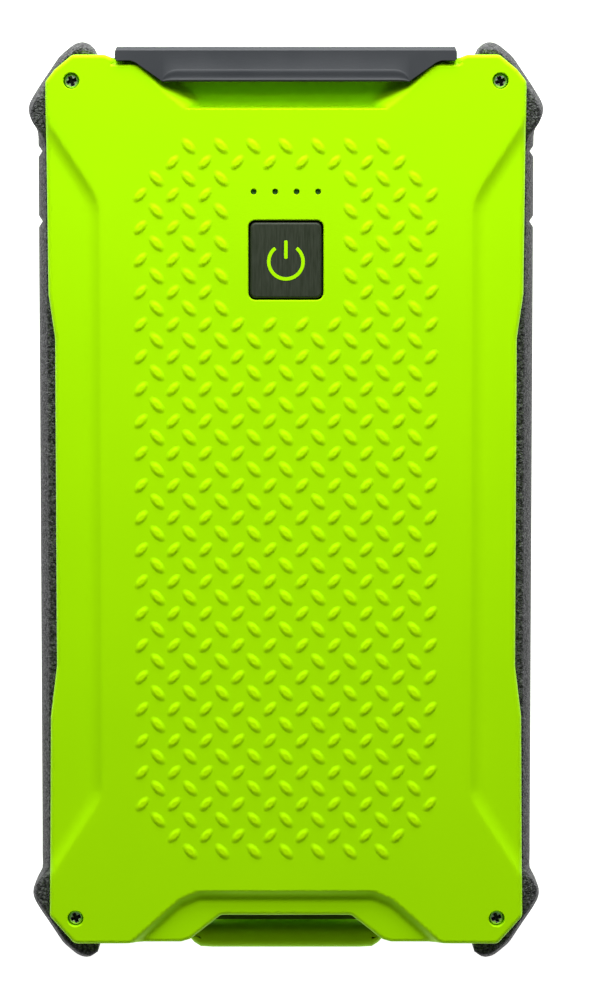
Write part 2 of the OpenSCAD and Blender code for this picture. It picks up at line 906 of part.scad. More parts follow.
module protection_board() {
    chip = [2.6, 0.7, 2.4];
    color([0.05, 0.3, 0.18]) {
        block([-protect_x, protect_y, 4.2], [protect_x, protect_y + protect_t, 13.4]);
        for (x = [-8, -1, 8])
            translate([x - chip.x / 2, protect_y + protect_t, 6]) cube(chip);
    }
}

module cell_tabs() {
    tab = [4, protect_y - cell_end, 0.2];
    color([0.8, 0.8, 0.78])
        for (x = [-11, 11])
            for (z = [cell_rear_z + 2.5, cell_front_z + 1.7])
                translate([x - tab.x / 2, cell_end, z]) cube(tab);
}

// ---- Battery leads ----

lead_r = 0.6;
lead_x = 1.4;
lead_z = 9.8;
header_y = 38.6;
header = [7.2, 5, 4.4];
header_wall = 0.7;
plug_out = 1.2;
plug_fit = 0.1;

// Half width, depth and heights of the header's pocket
pocket_x = header.x / 2 - header_wall;
pocket_y = header_y + header.y - 0.8;
pocket_z = [board_low - header.z + 0.6, board_low - 0.6];

module battery_header() {
    color([0.92, 0.9, 0.82]) difference() {
        translate([-header.x / 2, header_y, board_low - header.z]) cube(header);
        block([-pocket_x, header_y - past, pocket_z[0]], [pocket_x, pocket_y, pocket_z[1]]);
    }
}

module battery_plug() {
    color([0.95, 0.94, 0.9])
        block([-pocket_x + plug_fit, header_y - plug_out, pocket_z[0] + plug_fit],
            [pocket_x - plug_fit, pocket_y - plug_fit, pocket_z[1] - plug_fit]);
}

// Ring of points about one point of a route, square to the way the route runs there
function along(route, i) =
    let (a = route[max(i - 1, 0)], b = route[min(i + 1, len(route) - 1)]) (b - a) / norm(b - a);
function ring(p, d, r, sides) =
    let (u = cross(d, [0, 0, 1]) / norm(cross(d, [0, 0, 1])), v = cross(d, u))
    [for (k = [0 : sides - 1]) p + r * (cos(k * 360 / sides) * u + sin(k * 360 / sides) * v)];

module tube(route, r, sides = 10) {
    rings = [for (i = [0 : len(route) - 1]) ring(route[i], along(route, i), r, sides)];
    last = len(route) - 1;
    side_faces = [
        for (i = [0 : last - 1])
            for (k = [0 : sides - 1])
                let (n = (k + 1) % sides)
                    each [
                        [i * sides + k, i * sides + n, (i + 1) * sides + n],
                        [i * sides + k, (i + 1) * sides + n, (i + 1) * sides + k]]];
    polyhedron(
        points = [for (one = rings) each one],
        faces = concat(
            [[for (k = [sides - 1 : -1 : 0]) k]],
            side_faces,
            [[for (k = [0 : sides - 1]) last * sides + k]]));
}

// From the protection board, round a loose bow and into the back of the plug
function lead_route(side) = [
    [side * 4.2, protect_y + protect_t, 6.2], [side * 4.2, 32.8, 6.2], [side * 4.1, 33.5, 6.3],
    [side * 3.6, 34.3, 6.8], [side * 2.9, 35.0, 7.6], [side * 2.2, 35.6, 8.6],
    [side * 1.6, 36.2, 9.4], [side * lead_x, 36.8, lead_z], [side * lead_x, header_y - plug_out, lead_z]];

module battery_lead_positive() { color([0.75, 0.08, 0.06]) tube(lead_route(-1), lead_r); }
module battery_lead_negative() { color([0.08, 0.08, 0.09]) tube(lead_route(1), lead_r); }

front_cover();
rear_cover();
bumper_frame();
front_seal();
rear_seal();
cover_screws();
threaded_inserts();
port_door();
door_seal();
hinge_pin();
port_bezel();
usb_a_shell_left();
usb_a_shell_right();
usb_a_tongue_left();
usb_a_tongue_right();
usb_a_contacts_left();
usb_a_contacts_right();
usb_c_shell();
usb_c_tongue();
usb_c_contacts();
power_button();
button_gasket();
button_retainer();
tact_switch();
switch_plunger();
light_pipe();
indicator_leds();
circuit_board();
board_screws();
control_chips();
power_inductors();
capacitors();
battery_header();
battery_plug();
battery_lead_positive();
battery_lead_negative();
cell_front();
cell_rear();
cell_tape();
foam_front();
foam_rear();
protection_board();
cell_tabs();
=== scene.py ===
"""Rugged power bank: the looks. Sizes are in millimetres in the CAD's own frame, and become metres where a
mesh is made. Origin in the middle of the rear face, +Z out of the front, +Y towards the port door."""

import json
import math

import bmesh
import bpy
import numpy as np
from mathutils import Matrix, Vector
from mathutils.geometry import delaunay_2d_cdt


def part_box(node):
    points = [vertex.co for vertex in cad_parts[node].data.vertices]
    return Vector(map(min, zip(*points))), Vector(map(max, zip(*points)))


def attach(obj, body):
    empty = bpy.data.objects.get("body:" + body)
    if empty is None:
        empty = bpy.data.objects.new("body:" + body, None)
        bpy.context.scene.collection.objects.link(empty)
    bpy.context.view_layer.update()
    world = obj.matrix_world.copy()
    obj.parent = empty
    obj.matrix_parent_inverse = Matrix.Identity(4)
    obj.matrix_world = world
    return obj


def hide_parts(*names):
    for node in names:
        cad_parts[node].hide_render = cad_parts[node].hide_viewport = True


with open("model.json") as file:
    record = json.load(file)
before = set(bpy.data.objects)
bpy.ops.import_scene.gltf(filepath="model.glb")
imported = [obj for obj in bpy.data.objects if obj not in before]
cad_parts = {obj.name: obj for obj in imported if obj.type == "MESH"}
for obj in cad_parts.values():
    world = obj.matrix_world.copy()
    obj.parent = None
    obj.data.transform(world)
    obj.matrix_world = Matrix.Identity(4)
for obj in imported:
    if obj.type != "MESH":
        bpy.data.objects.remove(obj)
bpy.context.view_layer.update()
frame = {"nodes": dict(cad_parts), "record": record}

MM = 0.001
SCENE = bpy.context.scene
QUARTER = math.pi / 2


# ---- Sizes, in millimetres: places come from the CAD boxes, outlines repeat part.scad's named sizes ----


def box_mm(node):
    low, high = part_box(node)
    return np.array(low) / MM, np.array(high) / MM


cover_low, cover_high = box_mm("front_cover")
button_low, button_high = box_mm("power_button")
screws_low, screws_high = box_mm("cover_screws")
door_low, door_high = box_mm("port_door")
pin_low, pin_high = box_mm("hinge_pin")
rear_low, _ = box_mm("rear_cover")
pipe_low, pipe_high = box_mm("light_pipe")

TREAD_H = 0.45
CASE_T = cover_high[2] - TREAD_H
SEAM = cover_low[2]
HALF_W = cover_high[0]
HALF_L = cover_high[1]
WALL = 2.0
INSIDE = CASE_T - WALL
WAIST_IN = 1.3
PANEL_DROP = 0.7
EDGE_R = 0.7

HEAD_R = 1.15
SCREW_X = screws_high[0] - HEAD_R
SCREW_Y = screws_high[1] - HEAD_R
HEAD_H = 0.9
SCREW_SEAT = screws_high[2] - HEAD_H
SHANK_HOLE_R = 0.8

CAVITY_X = 34.6
CAVITY_TOP = 62.9
CAVITY_BOTTOM = -62.2
CAVITY_CUT = (5.1, 5.9)

SCOOP_DEPTH = 2.8
SCOOP_Y = 62.0
SCOOP_RAMP = 0.45
RIM_X, RIM_Y = 24.0, SCOOP_Y - 1.4
NOTCH_DEPTH, REAR_NOTCH_DEPTH = 1.5, 1.2
NOTCH_SCOOP_Y = -61.7
NOTCH_RAMP = 1.6
NOTCH_Y = -66.15
SLOT_X = 13.5
SLOT_END = -70.3
BAR_X, BAR_END, BAR_TOP = 16.0, rear_low[1], 6.6
DOOR_SINK = 0.7
CASE_END = HALF_L - DOOR_SINK

PITCH = 5.08
TREAD_Y = 0.34
TREAD_LAST = 22
TREAD_WINDOW = (12, 20)
TREAD_LEAN = math.radians(48)

BUTTON_Y = (button_low[1] + button_high[1]) / 2
KEY_W = 11.2
KEY_L = 11.9
KEY_GAP = 0.3
LIGHT_Y = (pipe_low[1] + pipe_high[1]) / 2
LIGHT_PITCH = 3.37
LIGHT_R = 0.45

HINGE_Y = (pin_low[1] + pin_high[1]) / 2
HINGE_Z = (pin_low[2] + pin_high[2]) / 2
HINGE_R = 1.5
SADDLE = (21.3, 25.3)
DOOR_GAP = 0.3


# ---- Outlines ----

ARC_STEPS = 7


def both_sides(half):
    """The right half of an outline, from its top to its bottom, closed with its mirror image."""
    return list(half) + [(-x, y) for x, y in reversed(half)]


def rounded(corners, radius, spacing=1.2):
    """Points along the closed outline through these corners, anticlockwise, with each corner an arc."""
    corners = np.array(corners, float)
    following = np.roll(corners, -1, 0)
    if np.sum(corners[:, 0] * following[:, 1] - corners[:, 1] * following[:, 0]) < 0:
        corners = corners[::-1]
    path = []
    for before, corner, after in zip(np.roll(corners, 1, 0), corners, np.roll(corners, -1, 0)):
        back, on = before - corner, after - corner
        back_l, on_l = np.linalg.norm(back), np.linalg.norm(on)
        back, on = back / back_l, on / on_l
        half = math.acos(float(np.clip(back @ on, -1, 1))) / 2
        cut = min(radius / math.tan(half), 0.45 * back_l, 0.45 * on_l) if half < QUARTER - 1e-3 else 0.0
        if cut < 1e-3:
            path.append(corner)
            continue
        middle = corner + (back + on) / np.linalg.norm(back + on) * cut / math.cos(half)
        start, end = corner + back * cut - middle, corner + on * cut - middle
        sweep = math.pi - 2 * half
        for t in np.linspace(0, sweep, ARC_STEPS):
            path.append(middle + (start * math.sin(sweep - t) + end * math.sin(t)) / math.sin(sweep))
    dense = []
    for a, b in zip(path, path[1:] + path[:1]):
        parts = max(1, math.ceil(np.linalg.norm(b - a) / spacing))
        dense += [a + (b - a) * i / parts for i in range(parts)]
    return np.array(dense)


def circle(x, y, r, count=24):
    turn = np.linspace(0, 2 * math.pi, count, endpoint=False)
    return np.stack([x + r * np.cos(turn), y + r * np.sin(turn)], 1)


def outward(loop):
    """Normals pointing out of an anticlockwise loop."""
    along = np.roll(loop, -1, 0) - np.roll(loop, 1, 0)
    along /= np.linalg.norm(along, axis=1)[:, None]
    return np.stack([along[:, 1], -along[:, 0]], 1)


def is_inside(points, loop):
    """Even-odd test of many points against one loop."""
    result = np.zeros(len(points), bool)
    x, y = points[:, 0], points[:, 1]
    for (ax, ay), (bx, by) in zip(loop, np.roll(loop, -1, 0)):
        if ay != by:
            crosses = (ay > y) != (by > y)
            result ^= crosses & (x < (bx - ax) * (y - ay) / (by - ay) + ax)
    return result


def distance(points, path, closed=True):
    """Distance of each point to a path."""
    ends = np.roll(path, -1, 0) if closed else path[1:]
    starts = path if closed else path[:-1]
    best = np.full(len(points), 1e9)
    for a, b in zip(starts, ends):
        d = b - a
        t = np.clip(((points - a) @ d) / max(d @ d, 1e-12), 0, 1)
        best = np.minimum(best, np.linalg.norm(points - a - t[:, None] * d, axis=1))
    return best


def smooth(t):
    t = np.clip(t, 0, 1)
    return t * t * (3 - 2 * t)


cover_half = [
    (33.4, HALF_L), (36.2, HALF_L - 2.3), (HALF_W, HALF_L - 4.2), (HALF_W - 0.3, 33), (HALF_W - WAIST_IN, 26),
    (HALF_W - WAIST_IN, -26), (HALF_W - 0.3, -34), (HALF_W, -HALF_L + 4.4), (33.8, -HALF_L)]
notch_half = [(16.8, -HALF_L), (15.4, -HALF_L + 0.4), (10.4, NOTCH_Y)]
slot_half = [(SLOT_X, -HALF_L), (SLOT_X, NOTCH_Y)]
door_half = [(26.6, CASE_END), (28.4, HALF_L)]

front_outline = rounded(both_sides(door_half + cover_half + notch_half), 1.3)
rear_outline = rounded(both_sides(door_half + cover_half + slot_half), 1.0)
cavity_half = [
    (CAVITY_X - CAVITY_CUT[0], CAVITY_TOP), (CAVITY_X, CAVITY_TOP - CAVITY_CUT[1]),
    (CAVITY_X, CAVITY_BOTTOM + CAVITY_CUT[1]), (CAVITY_X - CAVITY_CUT[0], CAVITY_BOTTOM)]
rim_half = [(RIM_X, RIM_Y), (RIM_X + 0.5, CAVITY_TOP)]
front_cavity = rounded(both_sides(rim_half + cavity_half), 1.0, spacing=2.5)
rear_cavity = rounded(both_sides(cavity_half), 1.0, spacing=2.5)
key_outline = rounded(both_sides([
    (KEY_W / 2, BUTTON_Y + KEY_L / 2), (KEY_W / 2, BUTTON_Y - KEY_L / 2)]), 0.9, spacing=0.8)
key_hole = rounded(both_sides([
    (KEY_W / 2 + KEY_GAP, BUTTON_Y + KEY_L / 2 + KEY_GAP),
    (KEY_W / 2 + KEY_GAP, BUTTON_Y - KEY_L / 2 - KEY_GAP)]), 1.1, spacing=0.8)
light_spots = [i * LIGHT_PITCH for i in (-1.5, -0.5, 0.5, 1.5)]
corner_spots = [(sx * SCREW_X, sy * SCREW_Y) for sx in (-1, 1) for sy in (-1, 1)]


# ---- Skins: patches of faces with their own normals, welded into closed meshes ----

# Skins are welded on a grid of this many steps a millimetre
WELD_STEPS = 2000


class Skin:
    def __init__(self):
        self.points, self.normals, self.faces, self.count = [], [], [], 0

    def add(self, points, normals, faces):
        """Adds a patch. Faces are turned to agree with the normals, which are one per point."""
        points, faces = np.asarray(points, float), np.asarray(faces, int)
        normals = np.broadcast_to(np.asarray(normals, float), points.shape)
        a, b, c = (points[faces[:, i]] for i in range(3))
        turned = np.einsum("ij,ij->i", np.cross(b - a, c - a), normals[faces].mean(1)) < 0
        faces = np.where(turned[:, None], faces[:, ::-1], faces)
        self.points.append(points)
        self.normals.append(normals)
        self.faces.append(faces + self.count)
        self.count += len(points)

    def strip(self, ring_a, ring_b, normal_a, normal_b):
        """Quads between two closed rings of the same length."""
        n = len(ring_a)
        i = np.arange(n)
        j = (i + 1) % n
        normal_a = np.broadcast_to(normal_a, ring_a.shape)
        normal_b = np.broadcast_to(normal_b, ring_b.shape)
        self.add(np.vstack([ring_a, ring_b]), np.vstack([normal_a, normal_b]),
            np.stack([i, j, j + n, i + n], 1))

    def fill(self, loops, z, normal):
        """A flat face at height z: the first loop less the others."""
        points = np.vstack(loops)
        faces = triangles(points, loops)
        self.add(at_height(points, z), normal, faces)

    def mirrored(self, height):
        """The same skin turned over, about half of height."""
        for i in range(len(self.points)):
            self.points[i] = self.points[i] * (1, 1, -1) + (0, 0, height)
            self.normals[i] = self.normals[i] * (1, 1, -1)
            self.faces[i] = self.faces[i][:, ::-1]
        return self

    def build(self, name, body, slot, *nodes):
        """Welds the patches and makes the piece."""
        points, normals = np.vstack(self.points), np.vstack(self.normals)
        _, first, same = np.unique(
            np.round(points * WELD_STEPS).astype(int), axis=0, return_index=True, return_inverse=True)
        same = same.reshape(-1)
        faces, corners = [], []
        for group in self.faces:
            for face in group:
                welded = [(int(same[k]), int(k)) for k in face]
                kept = [w for w, before in zip(welded, welded[-1:] + welded[:-1]) if w[0] != before[0]]
                if len(kept) > 2 and len({w[0] for w in kept}) == len(kept):
                    faces.append([w[0] for w in kept])
                    corners += [w[1] for w in kept]
        mesh = bpy.data.meshes.new(name)
        mesh.from_pydata((points[first] * MM).tolist(), [], faces)
        mesh.shade_smooth()
        mesh.normals_split_custom_set(normals[corners].tolist())
        return piece(name, mesh, body, slot, *nodes)


def at_height(points, z):
    return np.column_stack([points, np.broadcast_to(z, len(points))])


# Triangles lower than this have their points in line, and are dropped
FLAT_SLIVER = 1e-6
CDT_EPSILON = 1e-7


def triangles(points, loops, extra=0, kept=()):
    """Triangles inside the first loop and outside the others. The points from number `extra` on are the
    loops' own, and each edge in `kept` stays an edge of the triangles."""
    edges, start = list(kept), extra
    for loop in loops:
        n = len(loop)
        edges += [(start + i, start + (i + 1) % n) for i in range(n)]
        start += n
    made = delaunay_2d_cdt([Vector(p) for p in points], edges, [], 0, CDT_EPSILON)
    if not all(made[3]):
        raise ValueError("a loop crosses itself or another: its edge is rounded more than its corners are")
    origin = np.array([o[0] for o in made[3]])
    faces = origin[np.array(made[2])]
    middle = points[faces].mean(1)
    keep = is_inside(middle, loops[0])
    for loop in loops[1:]:
        keep &= ~is_inside(middle, loop)
    a, b, c = (points[faces[:, k]] for k in range(3))
    long, side = b - a, c - a
    height = np.abs(long[:, 0] * side[:, 1] - long[:, 1] * side[:, 0]) / np.maximum.reduce([
        np.linalg.norm(long, axis=1), np.linalg.norm(side, axis=1), np.linalg.norm(c - b, axis=1)])
    return faces[keep & (height > FLAT_SLIVER)]


def piece(name, mesh, body, slot, *nodes):
    obj = bpy.data.objects.new(name, mesh)
    SCENE.collection.objects.link(obj)
    mesh.materials.append(materials[slot])
    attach(obj, body)
    if nodes:
        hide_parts(*nodes)
    return obj


# ---- Materials ----


def new_material(name):
    material = bpy.data.materials.new(name)
    material.use_nodes = True
    nodes = material.node_tree.nodes
    return material, nodes, material.node_tree.links, nodes["Principled BSDF"]


def texture(nodes, links, kind, scale, stretch=(1, 1, 1), detail=2.0):
    """A noise or cell texture with features of 1/scale metres, in the object's own space."""
    place = nodes.new("ShaderNodeTexCoord")
    mapping = nodes.new("ShaderNodeMapping")
    mapping.inputs["Scale"].default_value = stretch
    links.new(place.outputs["Object"], mapping.inputs["Vector"])
    made = nodes.new("ShaderNodeTexNoise" if kind == "noise" else "ShaderNodeTexVoronoi")
    made.inputs["Scale"].default_value = scale
    if kind == "noise":
        made.inputs["Detail"].default_value = detail
    else:
        made.feature = "DISTANCE_TO_EDGE"
    links.new(mapping.outputs["Vector"], made.inputs["Vector"])
    return made.outputs[0]


def spread(nodes, links, value, low, high, from_low=0.3, from_high=0.7):
    """Maps a texture's value to a range."""
    made = nodes.new("ShaderNodeMapRange")
    made.inputs["From Min"].default_value = from_low
    made.inputs["From Max"].default_value = from_high
    made.inputs["To Min"].default_value = low
    made.inputs["To Max"].default_value = high
    links.new(value, made.inputs["Value"])
    return made.outputs["Result"]


CELL_EDGE = 0.25


def surface(name, colour, shade, roughness, mottle=60, grain=(), metallic=0.0, specular=0.5,
        stretch=(1, 1, 1), coat=0.0, see_through=0.0, gloss_tint=(1, 1, 1), contrast=(0.3, 0.7)):
    """A finish: two close colours mottled together, uneven gloss and layers of bump.
    Each layer of grain is (kind, scale, depth in millimetres)."""
    material, nodes, links, shader = new_material(name)
    shader.inputs["Metallic"].default_value = metallic
    shader.inputs["Specular IOR Level"].default_value = specular
    shader.inputs["Specular Tint"].default_value = (*gloss_tint, 1)
    shader.inputs["Coat Weight"].default_value = coat
    shader.inputs["Transmission Weight"].default_value = see_through
    patches = texture(nodes, links, "noise", mottle, stretch, detail=4.0)
    mix = nodes.new("ShaderNodeMix")
    mix.data_type = "RGBA"
    mix.inputs["A"].default_value = (*colour, 1)
    mix.inputs["B"].default_value = (*shade, 1)
    links.new(spread(nodes, links, patches, 0, 1, *contrast), mix.inputs["Factor"])
    links.new(mix.outputs["Result"], shader.inputs["Base Color"])
    links.new(spread(nodes, links, patches, *roughness), shader.inputs["Roughness"])
    normal = None
    for kind, scale, depth in grain:
        bump = nodes.new("ShaderNodeBump")
        bump.inputs["Distance"].default_value = depth * MM
        height = texture(nodes, links, kind, scale, stretch)
        if kind == "cells":
            height = spread(nodes, links, height, 0, 1, 0.0, CELL_EDGE)
        links.new(height, bump.inputs["Height"])
        if normal is not None:
            links.new(normal, bump.inputs["Normal"])
        normal = bump.outputs["Normal"]
    if normal is not None:
        links.new(normal, shader.inputs["Normal"])
    return material


fine = [("noise", 5200, 0.012)]
materials = {
    "green_cover": surface("green_cover", (0.42, 0.895, 0.001), (0.40, 0.865, 0.001), (0.46, 0.56),
        mottle=45, grain=[("noise", 4200, 0.010)], specular=0.3, gloss_tint=(0.55, 1.0, 0.01)),
    "bumper_rubber": surface("bumper_rubber", (0.014, 0.015, 0.015), (0.125, 0.129, 0.130), (0.50, 0.72),
        mottle=1800, grain=[("cells", 2000, 0.20), ("noise", 3600, 0.06)],
        specular=0.32, contrast=(0.40, 0.62)),
    "seal_rubber": surface("seal_rubber", (0.018, 0.018, 0.019), (0.026, 0.026, 0.027), (0.6, 0.75),
        mottle=300, grain=[("noise", 2600, 0.03)], specular=0.4),
    "screw_steel": surface("screw_steel", (0.86, 0.87, 0.88), (0.70, 0.71, 0.73), (0.34, 0.50),
        mottle=2500, grain=[("noise", 9000, 0.01)], metallic=1.0),
    "insert_brass": surface("insert_brass", (0.72, 0.50, 0.18), (0.60, 0.40, 0.14), (0.28, 0.42),
        mottle=1800, grain=[("noise", 6000, 0.01)], metallic=1.0),
    "door_plastic": surface("door_plastic", (0.041, 0.045, 0.050), (0.047, 0.051, 0.056), (0.40, 0.52),
        mottle=120, grain=[("noise", 4800, 0.008)], specular=0.24),
    "pin_steel": surface("pin_steel", (0.62, 0.62, 0.64), (0.52, 0.52, 0.55), (0.16, 0.26),
        mottle=900, grain=[("noise", 7000, 0.004)], metallic=1.0, stretch=(0.1, 1, 1)),
    "black_plastic": surface("black_plastic", (0.016, 0.016, 0.018), (0.024, 0.024, 0.026), (0.36, 0.5),
        mottle=260, grain=fine),
    "socket_steel": surface("socket_steel", (0.66, 0.67, 0.69), (0.56, 0.57, 0.60), (0.22, 0.36),
        mottle=700, grain=[("noise", 5000, 0.005)], metallic=1.0, stretch=(1, 0.15, 1)),
    "white_plastic": surface("white_plastic", (0.72, 0.71, 0.66), (0.66, 0.65, 0.60), (0.36, 0.48),
        mottle=300, grain=fine),
    "contact_gold": surface("contact_gold", (0.90, 0.62, 0.22), (0.80, 0.54, 0.18), (0.18, 0.3),
        mottle=1500, grain=[("noise", 8000, 0.004)], metallic=1.0),
    "button_dark": surface("button_dark", (0.022, 0.030, 0.016), (0.036, 0.046, 0.028), (0.4, 0.6),
        mottle=4800, grain=[("noise", 6500, 0.02)], specular=0.25, stretch=(1, 0.08, 1)),
    "clear_pipe": surface("clear_pipe", (0.10, 0.20, 0.06), (0.07, 0.15, 0.04), (0.2, 0.34),
        mottle=400, grain=fine, see_through=0.25),
    "led_package": surface("led_package", (0.80, 0.78, 0.62), (0.72, 0.70, 0.55), (0.4, 0.5),
        mottle=900, grain=fine),
    "board_green": surface("board_green", (0.015, 0.12, 0.055), (0.02, 0.15, 0.07), (0.22, 0.36),
        mottle=700, grain=[("noise", 2400, 0.02)], coat=0.3),
    "chip_black": surface("chip_black", (0.02, 0.02, 0.022), (0.03, 0.03, 0.032), (0.5, 0.64),
        mottle=1200, grain=fine),
    "capacitor_can": surface("capacitor_can", (0.62, 0.63, 0.65), (0.54, 0.55, 0.58), (0.2, 0.34),
        mottle=600, grain=fine, metallic=1.0, stretch=(1, 1, 0.2)),
    "lead_red": surface("lead_red", (0.52, 0.02, 0.015), (0.46, 0.02, 0.012), (0.34, 0.46),
        mottle=500, grain=fine),
    "lead_black": surface("lead_black", (0.016, 0.016, 0.018), (0.024, 0.024, 0.026), (0.34, 0.46),
        mottle=500, grain=fine),
    "cell_foil": surface("cell_foil", (0.60, 0.61, 0.63), (0.52, 0.53, 0.56), (0.3, 0.46),
        mottle=140, grain=[("noise", 260, 0.08)], metallic=0.9),
    "cell_tape": surface("cell_tape", (0.62, 0.56, 0.38), (0.56, 0.50, 0.33), (0.5, 0.64),
        mottle=260, grain=fine),
    "foam_grey": surface("foam_grey", (0.06, 0.06, 0.064), (0.09, 0.09, 0.094), (0.8, 0.9),
        mottle=1400, grain=[("cells", 1800, 0.12)]),
    "tab_nickel": surface("tab_nickel", (0.58, 0.57, 0.53), (0.50, 0.49, 0.46), (0.26, 0.38),
        mottle=700, grain=fine, metallic=1.0),
}


def between_heights(material, low, high, colour, below=True, metal=False):
    """Fades a finish's colour to `colour` between two heights in millimetres, below them or above them."""
    nodes, links = material.node_tree.nodes, material.node_tree.links
    shader = nodes["Principled BSDF"]
    place = nodes.new("ShaderNodeTexCoord")
    height = nodes.new("ShaderNodeSeparateXYZ")
    links.new(place.outputs["Object"], height.inputs["Vector"])
    plain = spread(nodes, links, height.outputs["Z"], *((0, 1) if below else (1, 0)), low * MM, high * MM)
    mix = nodes.new("ShaderNodeMix")
    mix.data_type = "RGBA"
    mix.inputs["A"].default_value = (*colour, 1)
    links.new(plain, mix.inputs["Factor"])
    links.new(shader.inputs["Base Color"].links[0].from_socket, mix.inputs["B"])
    links.new(mix.outputs["Result"], shader.inputs["Base Color"])
    if metal:
        links.new(plain, shader.inputs["Metallic"])


# Painted light and shade: the tops of the front tread are painted a little lighter, a painted highlight, and
# the screws' recesses are painted dark inside, a painted shade
PAINTED_LIGHT_LOW, PAINTED_LIGHT_HIGH = 0.06, 0.20
RECESS_SHADE_LOW, RECESS_SHADE_HIGH = 0.48, 0.30
# Painted highlight: the green cover turns lighter above the tread's foot, on the grain tops
between_heights(materials["green_cover"], CASE_T + PAINTED_LIGHT_LOW, CASE_T + PAINTED_LIGHT_HIGH, (0.50, 0.97, 0.001),
    below=False)
# Painted shade: the screw steel turns near-black and not metallic deep in the cross recess
between_heights(materials["screw_steel"], screws_high[2] - RECESS_SHADE_LOW, screws_high[2] - RECESS_SHADE_HIGH,
    (0.004, 0.004, 0.005), metal=True)

for row in frame["record"]["subparts"]:
    node = frame["nodes"][row["node"]]
    node.data.materials.clear()
    node.data.materials.append(materials[row["material_slot"]])


# ---- Covers ----

panel_line = np.array([
    (42, 67.5), (37.6, 60.4), (31.2, 50.7), (30.2, 49.0), (29.6, 47.6), (29.35, 46.2), (29.3, 45),
    (29.3, -45), (29.4, -46.2), (29.8, -47.4), (30.5, -48.7), (37.4, -59.4), (42, -66.8)])
panel_region = np.vstack([panel_line, [(60, -66.8), (60, 67.5)]])
PANEL_RAMP = 2.3
PANEL_EASE = 0.1
PANEL_POWER = 2.4


def panel_depth(points):
    """The side panels lie lower, with a soft step along their line."""
    folded = np.abs(points) * (1, 0) + points * (0, 1)
    away = distance(folded, panel_line, closed=False)
    signed = np.where(is_inside(folded, panel_region), away, -away)
    t = signed / PANEL_RAMP
    t = np.clip((t + np.sqrt(t**2 + PANEL_EASE**2)) / 2 - PANEL_EASE / 20, 0, 1)
    return PANEL_DROP * (1 - (1 - t) ** PANEL_POWER)


def bowl(points, corners, depth, ramp, side_ramp):
    """A scoop cut in from the end of the cover: one ramp off its inner edge and one off each side."""
    corners = np.array(corners, float)
    folded = np.abs(points) * (1, 0) + points * (0, 1)
    inner_y = corners[0, 1]
    sign = 1 if corners[-1, 1] > inner_y else -1
    from_edge = (folded[:, 1] - inner_y) * sign
    side = np.vstack([corners, corners[-1] + (corners[-1] - corners[-2]) * 4])
    away = distance(folded, side, closed=False)
    side_x = np.interp(folded[:, 1] * sign, side[:, 1] * sign, side[:, 0])
    within = folded[:, 0] < side_x
    amount = np.where(within & (from_edge > 0), 1.0, 0.0)
    return depth * amount * smooth(np.minimum(from_edge / ramp, away / side_ramp))


TOP_SCOOP = [(16.2, SCOOP_Y), (19.8, 64.9), (24.0, 69.2)]
TOP_SIDE_RAMP = 3.2
NOTCH_SCOOP = [(14.0, NOTCH_SCOOP_Y), (17.2, -63.1), (22.0, -67.4)]
SHELF_DEPTH, SHELF_X, SHELF_Y, SHELF_RAMP = 1.2, 27.5, 68.85, 0.35


def shelf_depth(points):
    """The ledge under the door's flap."""
    x, y = np.abs(points[:, 0]), points[:, 1]
    return SHELF_DEPTH * smooth((y - SHELF_Y) / SHELF_RAMP) * smooth((SHELF_X - x) / SHELF_RAMP)


def front_depth(points):
    scoops = np.maximum(
        bowl(points, TOP_SCOOP, SCOOP_DEPTH, SCOOP_RAMP, TOP_SIDE_RAMP),
        bowl(points, NOTCH_SCOOP, NOTCH_DEPTH, NOTCH_RAMP, NOTCH_RAMP))
    return np.maximum(panel_depth(points), np.maximum(scoops, shelf_depth(points)))


FIELD_X, FIELD_Y = 5 * PITCH, 12 * PITCH
FIELD_CUT_X, FIELD_CUT_Y = 4, 6
FIELD_DEPTH, FIELD_RAMP = 0.5, 0.7
field_outline = rounded(both_sides([
    (FIELD_X - FIELD_CUT_X, FIELD_Y), (FIELD_X, FIELD_Y - FIELD_CUT_Y), (FIELD_X, FIELD_CUT_Y - FIELD_Y),
    (FIELD_X - FIELD_CUT_X, -FIELD_Y)]), 3.0)


def rear_depth(points):
    away = distance(points, field_outline)
    field = np.where(is_inside(points, field_outline), smooth(away / FIELD_RAMP), 0.0) * FIELD_DEPTH
    scoop = bowl(points, NOTCH_SCOOP, REAR_NOTCH_DEPTH, NOTCH_RAMP, NOTCH_RAMP)
    return np.maximum(np.maximum(panel_depth(points), field), scoop)


GRAIN_EVEN, GRAIN_ODD = (1.60, 0.84), (1.46, 0.76)
WINDOW_COLUMN = 3


def tread_places(window):
    """(x, y, lean, half length, half width) of each raised grain."""
    places = []
    for row in range(-TREAD_LAST, TREAD_LAST + 1):
        even = row % 2 == 0
        end_row = abs(row) > TREAD_LAST - 2
        last = (8 if even else 9) - (2 if end_row else 0)
        shown = not (window and TREAD_WINDOW[0] <= row <= TREAD_WINDOW[1])
        for column in range(-last, last + 1, 2):
            if shown or abs(column) > WINDOW_COLUMN:
                places.append((column * PITCH / 2, row * PITCH / 2 + TREAD_Y,
                    -TREAD_LEAN if even else TREAD_LEAN, *(GRAIN_EVEN if even else GRAIN_ODD)))
    return places


GRAIN_RINGS = (0.30, 0.48, 0.62, 0.78, 0.95, 1.1)
GRAIN_SIDES = 14
GRAIN_RISE = 0.25
GRAIN_TOP, GRAIN_SIDE = 0.36, 0.74
GRAIN_NEAR, GRAIN_CLEAR = 2.2, 1.3


def grain_height(r):
    return GRAIN_RISE * (1 - smooth((r - GRAIN_TOP) / GRAIN_SIDE))


def grain_slope(r):
    t = np.clip((r - GRAIN_TOP) / GRAIN_SIDE, 0, 1)
    return -GRAIN_RISE * 6 * t * (1 - t) / GRAIN_SIDE


